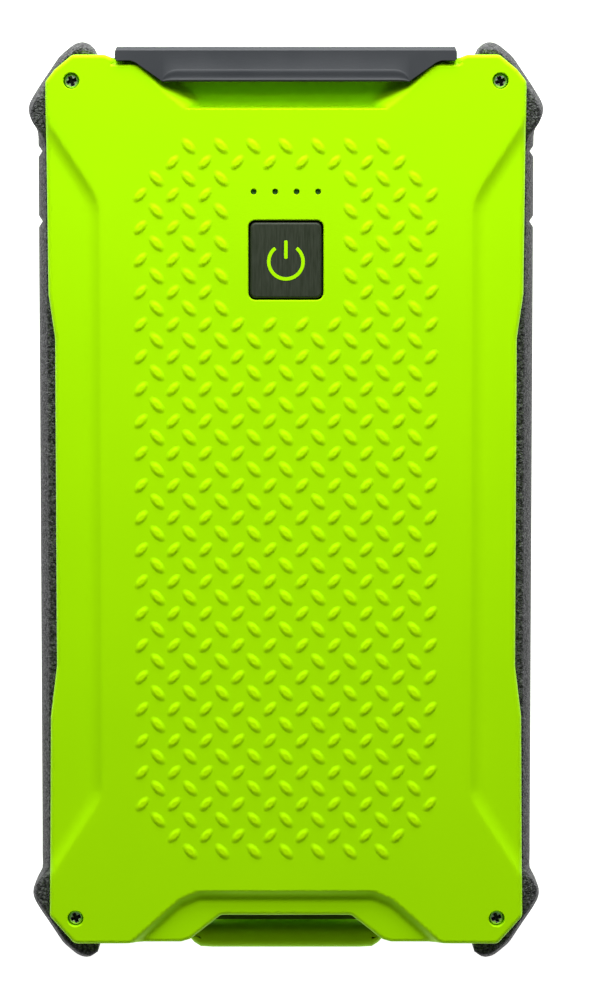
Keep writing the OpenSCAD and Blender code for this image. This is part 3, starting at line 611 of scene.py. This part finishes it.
def grains(places):
    """Points of every grain, their heights and the slopes of their heights."""
    turn = np.linspace(0, 2 * math.pi, GRAIN_SIDES, endpoint=False)
    ring = np.concatenate([[0.0]] + [np.full(GRAIN_SIDES, r) for r in GRAIN_RINGS])
    angle = np.concatenate([[0.0]] + [turn + 0.5 * i * turn[1] for i in range(len(GRAIN_RINGS))])
    spots, heights, slopes = [], [], []
    for x, y, lean, half_l, half_w in places:
        u, v = ring * np.cos(angle) * half_l, ring * np.sin(angle) * half_w
        c, s = math.cos(lean), math.sin(lean)
        spots.append(np.stack([x + u * c - v * s, y + u * s + v * c], 1))
        heights.append(grain_height(ring))
        safe = np.maximum(ring, 1e-6)
        du = grain_slope(ring) * u / (half_l**2 * safe)
        dv = grain_slope(ring) * v / (half_w**2 * safe)
        slopes.append(np.stack([du * c - dv * s, du * s + dv * c], 1))
    return np.vstack(spots), np.concatenate(heights), np.vstack(slopes)


def clear_of_grains(points, places):
    clear = np.ones(len(points), bool)
    for x, y, lean, half_l, half_w in places:
        near = np.flatnonzero((np.abs(points - (x, y)) < GRAIN_NEAR).all(1))
        if len(near):
            d = points[near] - (x, y)
            c, s = math.cos(lean), math.sin(lean)
            r = np.hypot((d[:, 0] * c + d[:, 1] * s) / half_l, (-d[:, 0] * s + d[:, 1] * c) / half_w)
            clear[near[r < GRAIN_CLEAR]] = False
    return clear


def slopes_of(depth, points, step=0.03):
    """How fast the surface rises along X and Y."""
    right, up = np.array([step, 0]), np.array([0, step])
    return np.stack([
        (depth(points - right) - depth(points + right)) / (2 * step),
        (depth(points - up) - depth(points + up)) / (2 * step)], 1)


def facing(slopes):
    normals = np.column_stack([-slopes, np.ones(len(slopes))])
    return normals / np.linalg.norm(normals, axis=1)[:, None]


def edge_rings(loop, away, radius, depth, steps=6):
    """Rings that turn an edge over, from the flat surface to the wall. away points out of the material."""
    rings = []
    for tilt in np.linspace(0, QUARTER, steps):
        place = loop - away * radius * (1 - math.sin(tilt))
        flat = facing(slopes_of(depth, place))
        normals = flat * math.cos(tilt) + at_height(away, 0) * math.sin(tilt)
        normals /= np.linalg.norm(normals, axis=1)[:, None]
        z = CASE_T - depth(place) - radius * (1 - math.cos(tilt))
        rings.append((place, z, normals))
    return rings


# Grid pitches on bends and on flats, and how a bend is found
DENSE_PITCH, OPEN_PITCH = 0.42, 2.6
PROBE, BEND = 0.5, 1e-3
EDGE_CLEAR = 0.12
WALL_CLEAR, WALL_STEPS, WALL_PITCH = 0.25, (-0.12, 1.12, 13), 0.55


def cover_skin(outline, cavity, depth, places, holes, walls):
    """A cover with its face up. Each hole is (loop, edge radius, floor height), and each wall is
    (y, ramp, half width): a steep step along X that gets rows of points of its own."""
    skin = Skin()
    edges = [edge_rings(outline, outward(outline), EDGE_R, depth)]
    edges += [edge_rings(loop, -outward(loop), radius, depth, steps=4) for loop, radius, _ in holes]
    low, high = outline.min(0), outline.max(0)

    def grid(pitch):
        x, y = np.meshgrid(np.arange(low[0], high[0], pitch), np.arange(low[1], high[1], pitch))
        x = x + (np.arange(len(y)) % 2)[:, None] * pitch / 2
        return np.stack([x.ravel(), y.ravel()], 1)

    dense = grid(DENSE_PITCH)
    here = depth(dense)
    moving = np.zeros(len(dense), bool)
    for dx, dy in ((PROBE, 0), (-PROBE, 0), (0, PROBE), (0, -PROBE)):
        moving |= np.abs(depth(dense + (dx, dy)) - here) > BEND
    open_points = np.vstack([dense[moving], grid(OPEN_PITCH)])
    rows = []
    for y, ramp, half_w in walls:
        beside = (open_points[:, 1] - y) / ramp
        outside = np.abs(open_points[:, 0]) > half_w
        open_points = open_points[(beside < -WALL_CLEAR) | (beside > 1 + WALL_CLEAR) | outside]
        steps = np.linspace(*WALL_STEPS)
        across = np.arange(-half_w, half_w + 0.1, WALL_PITCH)
        rows.append(np.array([(x, y + ramp * t) for t in steps for x in across]))
    open_points = np.vstack([open_points, *rows])
    open_points = open_points[is_inside(open_points, outline)]
    open_points = open_points[distance(open_points, outline) > EDGE_R + EDGE_CLEAR]
    for loop, radius, _ in holes:
        open_points = open_points[
            ~is_inside(open_points, loop) & (distance(open_points, loop) > radius + EDGE_CLEAR)]
    open_points = open_points[clear_of_grains(open_points, places)]
    grain_points, grain_rise, grain_slopes = grains(places)

    inner = np.vstack([open_points, grain_points])
    rise = np.concatenate([np.zeros(len(open_points)), grain_rise])
    slopes = slopes_of(depth, inner) + np.vstack([np.zeros_like(open_points), grain_slopes])
    points, heights, normals = [inner], [CASE_T - depth(inner) + rise], [facing(slopes)]
    for rings in edges:
        for place, z, normal in rings[:-1]:
            points.append(place)
            heights.append(z)
            normals.append(normal)
    extra = sum(len(p) for p in points)
    for rings in edges:
        points.append(rings[-1][0])
        heights.append(rings[-1][1])
        normals.append(rings[-1][2])
    flat = np.vstack(points)
    first_rim = len(open_points) + 1 + GRAIN_SIDES * (len(GRAIN_RINGS) - 1)
    rims = [first_rim + k * (1 + GRAIN_SIDES * len(GRAIN_RINGS)) for k in range(len(places))]
    kept = [(rim + i, rim + (i + 1) % GRAIN_SIDES) for rim in rims for i in range(GRAIN_SIDES)]
    faces = triangles(flat, [rings[-1][0] for rings in edges], extra, kept)
    skin.add(np.column_stack([flat, np.concatenate(heights)]), np.vstack(normals), faces)

    def wall(rings, bottom):
        loop, z, normal = rings[-1]
        skin.strip(np.column_stack([loop, z]), at_height(loop, bottom), normal, normal)

    wall(edges[0], SEAM)
    rim_holes, ceiling_holes = [cavity], []
    for rings, (loop, _, floor) in zip(edges[1:], holes):
        wall(rings, floor)
        if floor > INSIDE:
            bore = circle(*loop.mean(0), SHANK_HOLE_R)
            skin.fill([loop, bore], floor, (0, 0, 1))
            side = at_height(-outward(bore), 0)
            skin.strip(at_height(bore, floor), at_height(bore, SEAM), side, side)
            rim_holes.append(bore)
        else:
            ceiling_holes.append(loop)
    skin.fill([outline, *rim_holes], SEAM, (0, 0, -1))
    inward = at_height(-outward(cavity), 0)
    skin.strip(at_height(cavity, SEAM), at_height(cavity, INSIDE), inward, inward)
    skin.fill([cavity, *ceiling_holes], INSIDE, (0, 0, -1))
    return skin


front_holes = [(key_hole, 0.22, INSIDE)]
front_holes += [(circle(x, LIGHT_Y, LIGHT_R, 16), 0.12, INSIDE) for x in light_spots]
front_holes += [(circle(x, y, HEAD_R + 0.1), 0.16, SCREW_SEAT) for x, y in corner_spots]
SCOOP_WALL_X, NOTCH_WALL_X = 15.4, 13.2
scoop_wall = (SCOOP_Y, SCOOP_RAMP, SCOOP_WALL_X)
notch_wall = (NOTCH_SCOOP_Y, -NOTCH_RAMP, NOTCH_WALL_X)
front = cover_skin(
    front_outline, front_cavity, front_depth, tread_places(True), front_holes, [scoop_wall, notch_wall])
front.build("front_cover_shell", "case", "green_cover", "front_cover")
rear = cover_skin(rear_outline, rear_cavity, rear_depth, tread_places(False), [], [notch_wall])
rear.mirrored(CASE_T).build("rear_cover_shell", "case", "green_cover", "rear_cover")


# ---- Plates, bars and turned pieces ----


def slab(outline, low, high, top_r, bottom_r, name, body, slot, *nodes):
    """A plate with rounded edges above and below."""
    skin = Skin()
    sideways = at_height(outward(outline), 0)
    rings = []
    for z, radius, way in ((low, bottom_r, -1), (high, top_r, 1)):
        turns = np.linspace(0, QUARTER, 6)
        for tilt in turns if way < 0 else turns[::-1]:
            place = outline - outward(outline) * radius * (1 - math.sin(tilt))
            normal = sideways * math.sin(tilt) + np.array([0, 0, way * math.cos(tilt)])
            rings.append((at_height(place, z - way * radius * (1 - math.cos(tilt))), normal))
    for (ring_a, normal_a), (ring_b, normal_b) in zip(rings, rings[1:]):
        skin.strip(ring_a, ring_b, normal_a, normal_b)
    for (ring, _), z, way in ((rings[0], low, -1), (rings[-1], high, 1)):
        skin.fill([ring[:, :2]], z, (0, 0, way))
    return skin.build(name, body, slot, *nodes)


def loft(sections, name, body, slot, *nodes, closed=False, sharp=38):
    """Rings of points joined one after the other, capped at both ends unless the row closes on itself."""
    count, sides = len(sections), len(sections[0])
    faces = []
    for i in range(count if closed else count - 1):
        a, b = i * sides, (i + 1) % count * sides
        faces += [(a + k, a + (k + 1) % sides, b + (k + 1) % sides, b + k) for k in range(sides)]
    if not closed:
        faces.append(tuple(range(sides - 1, -1, -1)))
        faces.append(tuple(range((count - 1) * sides, count * sides)))
    mesh = bpy.data.meshes.new(name)
    mesh.from_pydata((np.vstack(sections) * MM).tolist(), [], faces)
    solid = bmesh.new()
    solid.from_mesh(mesh)
    bmesh.ops.remove_doubles(solid, verts=solid.verts, dist=1e-7)
    if solid.calc_volume(signed=True) < 0:
        bmesh.ops.reverse_faces(solid, faces=solid.faces)
    solid.to_mesh(mesh)
    solid.free()
    mesh.shade_smooth()
    mesh.set_sharp_from_angle(angle=math.radians(sharp))
    return piece(name, mesh, body, slot, *nodes)


def along_x(profile, stations):
    """The same Y and Z profile at each X, shrunk towards its middle where a station says so."""
    middle = profile.mean(0)
    return [np.column_stack([np.full(len(profile), x), middle + (profile - middle) * grow])
        for x, grow in stations]


BAR_TAPER, BAR_TAPER_X = 1.9, 2.6
BAR_INNER_R, BAR_OUTER_R, BAR_LOW_R = 2.0, 1.5, 0.8


def bar_section(x):
    """The bar's section at X: well rounded where the cord runs over it, and shorter towards its two ends."""
    end = BAR_END + BAR_TAPER * max(0.0, (abs(x) - (BAR_X - BAR_TAPER_X)) / BAR_TAPER_X) ** 2
    section = []
    for y, z, radius, first in (
            (SLOT_END, BAR_TOP, BAR_INNER_R, 0), (end, BAR_TOP, BAR_OUTER_R, 1),
            (end, REAR_NOTCH_DEPTH, BAR_LOW_R, 2), (SLOT_END, REAR_NOTCH_DEPTH, BAR_LOW_R, 3)):
        turns = QUARTER * (first + np.linspace(0, 1, 9))
        middle_y = y - radius * math.copysign(1, math.cos(turns[4]))
        middle_z = z - radius * math.copysign(1, math.sin(turns[4]))
        section += [(x, middle_y + radius * math.cos(t), middle_z + radius * math.sin(t)) for t in turns]
    return np.array(section)


bar_stations = np.concatenate([
    np.linspace(-BAR_X, 1.0 - BAR_X, 5), np.linspace(2.0 - BAR_X, BAR_X - 2.0, 15),
    np.linspace(BAR_X - 1.0, BAR_X, 5)])
loft([bar_section(x) for x in bar_stations], "lanyard_bar", "case", "green_cover", "rear_cover")


# ---- Bumper frame: a section carried round the cavity ----

MIDDLE = CASE_T / 2
BAR_FIT = 0.2
FRAME_X = 39.4
FRAME_BEVEL = 1.4
FRAME_IN = 0.3
FRAME_CUT_X, FRAME_CUT_Y, FRAME_SIDE_Y = 37.5, 66.4, 60
SLOT_CUT_X, SLOT_CUT_Y = 15.6, -68.4
LOBE_RISE = 1.8
LOBE_SHIFT = -1.1
SPINE_R = 6.0
BEZEL_X = 25.5
SEAM_LIP = 0.12
GROOVES = (55.6, 44.5)
GROOVE_HALF = 0.9
GROOVE_DEPTH = 0.62

lobe_half = [
    (30, 69), (30.4, 72), (32, 73.1), (33.6, 72.6), (36, 70.6), (38.9, 66.3), (40.7, 63.3), (41, 62.2),
    (40.5, 60.9), (38.4, 57.8), (36, 57.8)]


def lobe(scale):
    top = rounded([(x * scale, y * scale) for x, y in lobe_half], 1.6, spacing=0.5)
    bottom = np.column_stack([top[:, 0], LOBE_SHIFT - top[:, 1]])
    return top, bottom


def frame_outline(side_x, corner):
    return np.array(both_sides([
        (corner, HALF_L - FRAME_IN), (FRAME_CUT_X, FRAME_CUT_Y), (side_x, FRAME_SIDE_Y),
        (side_x, -FRAME_SIDE_Y), (FRAME_CUT_X, -FRAME_CUT_Y), (corner, -HALF_L + FRAME_IN),
        (BAR_X + BAR_FIT, -HALF_L + FRAME_IN), (BAR_X + BAR_FIT, SLOT_END + BAR_FIT),
        (SLOT_CUT_X, SLOT_END + BAR_FIT), (SLOT_X, SLOT_CUT_Y), (SLOT_X, NOTCH_Y)]), float)


def reach(origin, way, loop):
    """How far along a ray the loop is last crossed, or 0."""
    start, along = loop - origin, np.roll(loop, -1, 0) - loop
    square = way[0] * along[:, 1] - way[1] * along[:, 0]
    square = np.where(np.abs(square) < 1e-9, 1e-9, square)
    far = (start[:, 0] * along[:, 1] - start[:, 1] * along[:, 0]) / square
    part = (start[:, 0] * way[1] - start[:, 1] * way[0]) / square
    hits = far[(part >= 0) & (part <= 1) & (far > 0)]
    return hits.max() if len(hits) else 0.0


def spine():
    """Points and outward directions along the cavity's right half, from the bezel to the lower middle."""
    x, top, bottom = CAVITY_X - SPINE_R, CAVITY_TOP - SPINE_R, CAVITY_BOTTOM + SPINE_R
    stations = [((s, CAVITY_TOP), (0, 1)) for s in (BEZEL_X, 26.2, 26.9, 27.1, 27.8)]
    fan = np.linspace(0, QUARTER, 49)
    stations += [((x + SPINE_R * math.sin(t), top + SPINE_R * math.cos(t)), (math.sin(t), math.cos(t)))
        for t in fan]
    sides = list(np.arange(55, -56, -2.2))
    for groove in GROOVES:
        sides += list(groove + np.linspace(-1.2, 1.2, 13))
    stations += [((CAVITY_X, y), (1, 0)) for y in sorted((y for y in sides if y < top - 0.05), reverse=True)]
    stations += [((x + SPINE_R * math.cos(t), bottom - SPINE_R * math.sin(t)), (math.cos(t), -math.sin(t)))
        for t in fan]
    stations += [((s, CAVITY_BOTTOM), (0, -1)) for s in (
        26, 23, 20, 17.5, 16.6, 16.25, 16.15, 15.0, 14.2, 13.55, 13.45, 12, 10.4, 8, 5, 2.5, 0)]
    return stations


EASE_R = 0.55


def frame_reaches():
    """How far out each station's cover edge, frame edge and frame middle are, and the frame's rise."""
    mid, seam = frame_outline(FRAME_X, 33.2), frame_outline(FRAME_X - FRAME_BEVEL, 33.0)
    lobes_mid, lobes_top = lobe(1.0), lobe(0.985)
    rows = []
    for (px, py), way in spine():
        origin = np.array([px, py])
        cover = reach(origin, way, front_outline)
        at_lobe = max(reach(origin, way, one) for one in lobes_top)
        edge = max(reach(origin, way, seam), at_lobe)
        bulge = max(reach(origin, way, mid), *(reach(origin, way, one) for one in lobes_mid))
        if py > CAVITY_TOP - 0.01 and px < 27:
            edge = bulge = CASE_END - CAVITY_TOP
        rise = LOBE_RISE * float(smooth((at_lobe - cover - 0.1) / 1.6))
        rows.append((cover, edge, max(edge, bulge), rise))
    rows = np.array(rows)
    places = np.array([s[0] for s in spine()]) + np.array([s[1] for s in spine()]) * rows[:, 1:2]
    eased = rows.copy()
    for i, (x, y) in enumerate(places):
        if abs(y) > 40 and x > 28.6:
            weight = np.exp(-(((places - (x, y)) ** 2).sum(1)) / (2 * EASE_R**2))
            weight *= places[:, 0] > 27.5
            eased[i, 1:] = (rows[:, 1:] * weight[:, None]).sum(0) / weight.sum()
    return eased


def frame_section(origin, way, cover, edge, bulge, rise):
    """One closed section: seam, lip, rounded top edge and barrel side, and the same below."""
    (px, py), (wx, wy) = origin, way
    cover = min(cover + 0.04, edge - 0.3)
    top = SEAM + SEAM_LIP + rise
    groove = max(GROOVE_DEPTH * max(0.0, 1 - abs(py - g) / GROOVE_HALF) for g in GROOVES)
    bulge -= groove if abs(wy) < 1e-6 else 0.0
    soft = min(0.6, 0.45 * (edge - cover))
    lip = min(0.35, 0.8 * (top - SEAM), 0.45 * (edge - cover))
    upper = [(0, MIDDLE), (0, SEAM), (cover, SEAM)]
    upper += [(cover + lip * (1 - math.cos(t)), top - lip * (1 - math.sin(t)))
        for t in np.linspace(0, QUARTER, 4)]
    upper += [(edge - soft * (1 - math.sin(t)), top - soft * (1 - math.cos(t)))
        for t in np.linspace(0, QUARTER, 6)]
    height = top - soft - MIDDLE
    upper += [(edge + (bulge - edge) * (1 - s**3.2), MIDDLE + s * height)
        for s in (0.94, 0.86, 0.76, 0.64, 0.5, 0.34, 0.17, 0.0)]
    ring = upper + [(r, CASE_T - z) for r, z in reversed(upper[1:-1])]
    return np.array([(px + wx * r, py + wy * r, z) for r, z in ring])


right_half = [frame_section(*station, *row) for station, row in zip(spine(), frame_reaches())]
left_half = [section * (-1, 1, 1) for section in right_half[-2::-1]]
loft(right_half + left_half, "bumper_frame_grip", "case", "bumper_rubber", "bumper_frame")


# ---- Port door and its hinge ----

DOOR_WALL, FLAP_PROUD, FLAP_T, TIP_BACK = 1.6, 0.5, 1.3, 0.2
DOOR_OUT, DOOR_IN = door_high[1], door_high[1] - DOOR_WALL
FLAP_TOP = CASE_T + FLAP_PROUD
FLAP_LOW = FLAP_TOP - FLAP_T
FLAP_TIP = door_low[1] + TIP_BACK
LIP_RISE = 0.2
CURL_X, CURL_END, CURL_W = 16.9, 19.3, 2.4
SADDLE_CUT = SADDLE[0] - DOOR_GAP
RIDGE_IN = 1.7
LIP_SHAPE = ((0.0, 0.1), (0.15, 0.1), (0.3, 0.07), (0.45, 0.04), (0.6, 0.03), (0.74, 0.08), (0.88, 0.18))


def door_section(x):
    side = abs(x)
    tip = float(np.interp(side, (19.3, 23.5, 24.3, 26.5, 26.95), (FLAP_TIP, 69.2, 69.5, 69.5, 70.15)))
    out = float(np.interp(side, (26.475, 27.0), (DOOR_OUT, DOOR_OUT - 1.35)))
    low = HINGE_Z if side < SADDLE_CUT else HINGE_Z + HINGE_R + 0.4
    curl = math.sqrt(max(0.0, 1 - (max(0.0, side - CURL_X) / CURL_W) ** 2)) if side < CURL_END else 0.0
    ridge = tip + max(RIDGE_IN * curl, 0.25)
    bevel = min(0.6, 0.4 * (out - tip))
    points = []
    for part in np.linspace(0, 1, 15):
        z = low + (FLAP_TOP - bevel - low) * part
        inset = 0.3 * float(smooth((22.5 - side) / 0.8) * smooth((z - 7.2) / 0.9) * smooth((18.2 - z) / 0.9))
        points.append((out - inset, z))
    points += [(out - 0.45 * bevel, FLAP_TOP - 0.35 * bevel), (out - bevel, FLAP_TOP)]
    points += [(ridge + 0.3, FLAP_TOP), (ridge + 0.12, FLAP_TOP + 0.06 * curl)]
    points += [(ridge + (tip - ridge) * t, FLAP_TOP + rise * curl) for t, rise in LIP_SHAPE]
    top = FLAP_TOP + LIP_RISE * curl
    turn = min(0.3, 0.3 * (DOOR_IN - tip), 0.19 * (ridge - tip) + 0.02)
    points += [(tip + turn * (1 - math.sin(t)), top - turn * (1 - math.cos(t)))
        for t in np.linspace(0, QUARTER, 5)]
    points += [(tip + turn * (1 - math.cos(t)), FLAP_LOW + turn * (1 - math.sin(t)))
        for t in np.linspace(0, QUARTER, 5)]
    points += [(DOOR_IN - 0.1, FLAP_LOW), (DOOR_IN, FLAP_LOW - 0.1), (DOOR_IN, low)]
    return np.array([(x, y, z) for y, z in points])


door_right = [
    0, 4, 8, 12, 15, 16.4, 16.9, 17.3, 17.8, 18.3, 18.7, 19.0, 19.2, 19.3, 19.8, 20.6, SADDLE_CUT - 0.01,
    SADDLE_CUT + 0.01, 21.6, 22.1, 22.6, 23.1, 23.5, 23.9, 24.3, 25.2, 26.1, 26.45, 26.6, 26.75]
door_stations = [-x for x in reversed(door_right[1:])] + door_right
loft([door_section(x) for x in door_stations], "port_door_flap", "door", "door_plastic", "port_door",
    sharp=30)


def tube_x(start, end, outer, bore, chamfer, name, body, slot, *nodes, sides=48):
    """A tube along X about the hinge's axis."""
    profile = [(start, bore), (start, outer - chamfer), (start + chamfer, outer),
        (end - chamfer, outer), (end, outer - chamfer), (end, bore)]
    sections = []
    for turn in np.linspace(0, 2 * math.pi, sides, endpoint=False):
        sections.append(np.array([
            (x, HINGE_Y + r * math.cos(turn), HINGE_Z + r * math.sin(turn)) for x, r in profile]))
    return loft(sections, name, body, slot, *nodes, closed=True, sharp=30)


tube_x(-SADDLE_CUT, SADDLE_CUT, HINGE_R, 0.8, 0.2, "port_door_barrel", "door", "door_plastic", "port_door")

half_turn = np.linspace(0, math.pi, 13)
saddle_profile = np.array(
    [(HINGE_Y + HINGE_R * math.cos(t), HINGE_Z - HINGE_R * math.sin(t)) for t in half_turn]
    + [(CASE_END - 1, HINGE_Z - HINGE_R + 0.3), (CASE_END - 1, HINGE_Z)])
for side, name in ((-1, "left"), (1, "right")):
    start, end = sorted((side * SADDLE[0], side * SADDLE[1]))
    loft(along_x(saddle_profile, ((start, 0.9), (start + 0.15, 1), (end - 0.15, 1), (end, 0.9))),
        "hinge_saddle_" + name, "case", "green_cover", "rear_cover")


# ---- Push key with its generic on and off sign ----

KEY_TOP = button_high[2]
FLANGE_LOW = INSIDE - 0.9
FLANGE_OUT = 1.1
slab(key_outline, FLANGE_LOW + 0.69, KEY_TOP, 0.4, 0.05, "power_button_key", "button", "button_dark",
    "power_button")
slab(rounded(both_sides([
    (KEY_W / 2 + FLANGE_OUT, BUTTON_Y + KEY_L / 2 + FLANGE_OUT),
    (KEY_W / 2 + FLANGE_OUT, BUTTON_Y - KEY_L / 2 - FLANGE_OUT)]), 0.9),
    FLANGE_LOW, FLANGE_LOW + 0.7, 0.1, 0.1, "power_button_flange", "button", "button_dark", "power_button")
slab(circle(0, BUTTON_Y, 1.3), button_low[2], FLANGE_LOW + 0.05, 0.05, 0.25, "power_button_stem",
    "button", "button_dark", "power_button")

SIGN_R, SIGN_W, SIGN_H = 2.7, 0.56, 0.05
arc = np.linspace(math.radians(128), math.radians(412), 40)
sign_ring = [(r * math.cos(t), BUTTON_Y - 0.25 + r * math.sin(t))
    for r, turns in ((SIGN_R + SIGN_W / 2, arc), (SIGN_R - SIGN_W / 2, arc[::-1])) for t in turns]
sign_bar = both_sides([(SIGN_W / 2, BUTTON_Y + 3.1), (SIGN_W / 2, BUTTON_Y + 0.2)])
for outline, name in ((sign_ring, "power_sign_ring"), (sign_bar, "power_sign_bar")):
    slab(rounded(outline, 0.2, spacing=0.6), KEY_TOP - 0.05, KEY_TOP + SIGN_H, 0.03, 0.01, name,
        "button", "green_cover", "power_button")


# ---- Cover screws ----

SCREW_TURN = math.radians(20)
SHANK_R = 0.7
RECESS = 0.75
ARM_HALF, ARM_SOFT, ARM_REACH, ARM_END = 0.3, 0.08, 0.82, 0.16
HEAD_SIDES = 72


def screw_sections(x, y):
    """Rings from the middle of the domed head, over its edge and down the shank."""
    turn = np.linspace(0, 2 * math.pi, HEAD_SIDES, endpoint=False)
    sections = []
    for r in np.linspace(0.03, HEAD_R, 26):
        u, v = r * np.cos(turn - SCREW_TURN), r * np.sin(turn - SCREW_TURN)
        arms = [smooth((ARM_HALF - np.abs(b)) / ARM_SOFT) * smooth((ARM_REACH - np.abs(a)) / ARM_END)
            for a, b in ((u, v), (v, u))]
        dome = 0.16 * (r / HEAD_R) ** 2 + 0.24 * smooth((r / HEAD_R - 0.8) / 0.2) ** 2
        z = screws_high[2] - dome - RECESS * np.maximum(*arms)
        sections.append(np.column_stack([x + r * np.cos(turn), y + r * np.sin(turn), z]))
    for r, z in ((HEAD_R, SCREW_SEAT), (SHANK_R, SCREW_SEAT), (SHANK_R, screws_low[2] + 0.3),
            (SHANK_R - 0.25, screws_low[2])):
        sections.append(np.column_stack([x + r * np.cos(turn), y + r * np.sin(turn), np.full(HEAD_SIDES, z)]))
    return sections[::-1]


for number, (x, y) in enumerate(corner_spots, 1):
    loft(screw_sections(x, y), f"cover_screw_{number}", "case", "screw_steel", "cover_screws", sharp=32)


# ---- Eased edges on the CAD pieces that show when the door is open ----

for name, width in (("port_bezel", 0.2), ("door_seal", 0.25), ("usb_a_shell_left", 0.1),
        ("usb_a_shell_right", 0.1), ("usb_a_tongue_left", 0.12), ("usb_a_tongue_right", 0.12)):
    bevel = frame["nodes"][name].modifiers.new("eased_edges", "BEVEL")
    bevel.width = width * MM
    bevel.segments = 2
    bevel.limit_method = "ANGLE"
    bevel.angle_limit = math.radians(40)


# ---- Stage, light and camera ----


def glow(name, place, aim, size, power):
    light = bpy.data.lights.new(name, "AREA")
    light.shape = "RECTANGLE"
    light.size, light.size_y = size
    light.energy = power
    obj = bpy.data.objects.new(name, light)
    obj.location = place
    obj.rotation_euler = (Vector(aim) - Vector(place)).to_track_quat("-Z", "Y").to_euler()
    obj.visible_camera = False
    SCENE.collection.objects.link(obj)


def from_above(far, rise):
    """A light's place and aim: `far` from the case, `rise` degrees up from the door's side."""
    aim = Vector((0, 0.02, 0.02))
    turn = math.radians(rise)
    return aim + far * Vector((0, math.cos(turn), math.sin(turn))), aim


# The floor has a dark patch straight behind the lanyard slot, a painted shadow where the case shades the
# floor, which makes the slot look dark
FLOOR, FLOOR_DROP = 4.0, 0.0002
PATCH_SIDE, PATCH_LOW, PATCH_HIGH = 0.5, 1.7, 4
shade_x = (SLOT_X - PATCH_SIDE) * MM
shade_low, shade_high = (SLOT_END - PATCH_LOW) * MM, (NOTCH_Y + PATCH_HIGH) * MM
corners = [(-FLOOR, -FLOOR, 0), (FLOOR, -FLOOR, 0), (FLOOR, FLOOR, 0), (-FLOOR, FLOOR, 0),
    (-shade_x, shade_low, 0), (shade_x, shade_low, 0), (shade_x, shade_high, 0), (-shade_x, shade_high, 0)]
floor_mesh = bpy.data.meshes.new("floor")
border = [(k, (k + 1) % 4, 4 + (k + 1) % 4, 4 + k) for k in range(4)]
floor_mesh.from_pydata(corners, [], border + [(4, 5, 6, 7)])
floor = bpy.data.objects.new("floor", floor_mesh)
floor.location.z = -FLOOR_DROP
SCENE.collection.objects.link(floor)
# The second finish is the painted shadow: dark and not glowing, unlike the pale floor around it
for name, shade, light in (("pale_floor", 0.86, 1.0), ("floor_painted_shadow", 0.05, 0.0)):
    floor_material, _, _, floor_shader = new_material(name)
    floor_shader.inputs["Base Color"].default_value = (shade, shade, shade, 1)
    floor_shader.inputs["Roughness"].default_value = 0.8
    floor_shader.inputs["Emission Color"].default_value = (1, 1, 1, 1)
    floor_shader.inputs["Emission Strength"].default_value = light
    floor_mesh.materials.append(floor_material)
floor_mesh.polygons[4].material_index = 1

# The sky is white to the camera and dim as a light
SKY_LIGHT = 0.05
world = bpy.data.worlds.new("studio")
SCENE.world = world
world.use_nodes = True
tree = world.node_tree
background = tree.nodes["Background"].inputs
background["Color"].default_value = (1, 1, 1, 1)
seen = tree.nodes.new("ShaderNodeLightPath")
sky = spread(tree.nodes, tree.links, seen.outputs["Is Camera Ray"], SKY_LIGHT, 1.0, 0.0, 1.0)
tree.links.new(sky, background["Strength"])
glow("key", *from_above(0.30, 15), (0.30, 0.07), 0.62)
glow("high_key", *from_above(0.32, 28), (0.30, 0.07), 0.58)
glow("far_key", *from_above(0.70, 40), (0.60, 0.15), 3.55)
glow("rim", *from_above(0.33, 52), (0.30, 0.07), 0.15)
glow("front_fill", *from_above(0.40, 145), (0.30, 0.12), 0.16)

SCENE.view_settings.view_transform = "Standard"

camera_data = bpy.data.cameras.new("camera")
camera_data.sensor_width = 36.0
camera_data.lens = 126.0
camera_data.clip_start, camera_data.clip_end = 0.01, 50
camera = bpy.data.objects.new("camera", camera_data)
CAMERA_TILT, CAMERA_FAR = math.radians(4.61), 0.5527
CAMERA_AIM_X, CAMERA_AIM_Y = 1.35, 0.62
aim = Vector((CAMERA_AIM_X, CAMERA_AIM_Y, CASE_T)) * MM
back = Vector((0, math.sin(CAMERA_TILT), math.cos(CAMERA_TILT)))
camera.location = aim + back * CAMERA_FAR
camera.rotation_euler = (-CAMERA_TILT, 0, 0)
SCENE.collection.objects.link(camera)
bpy.context.scene.camera = camera
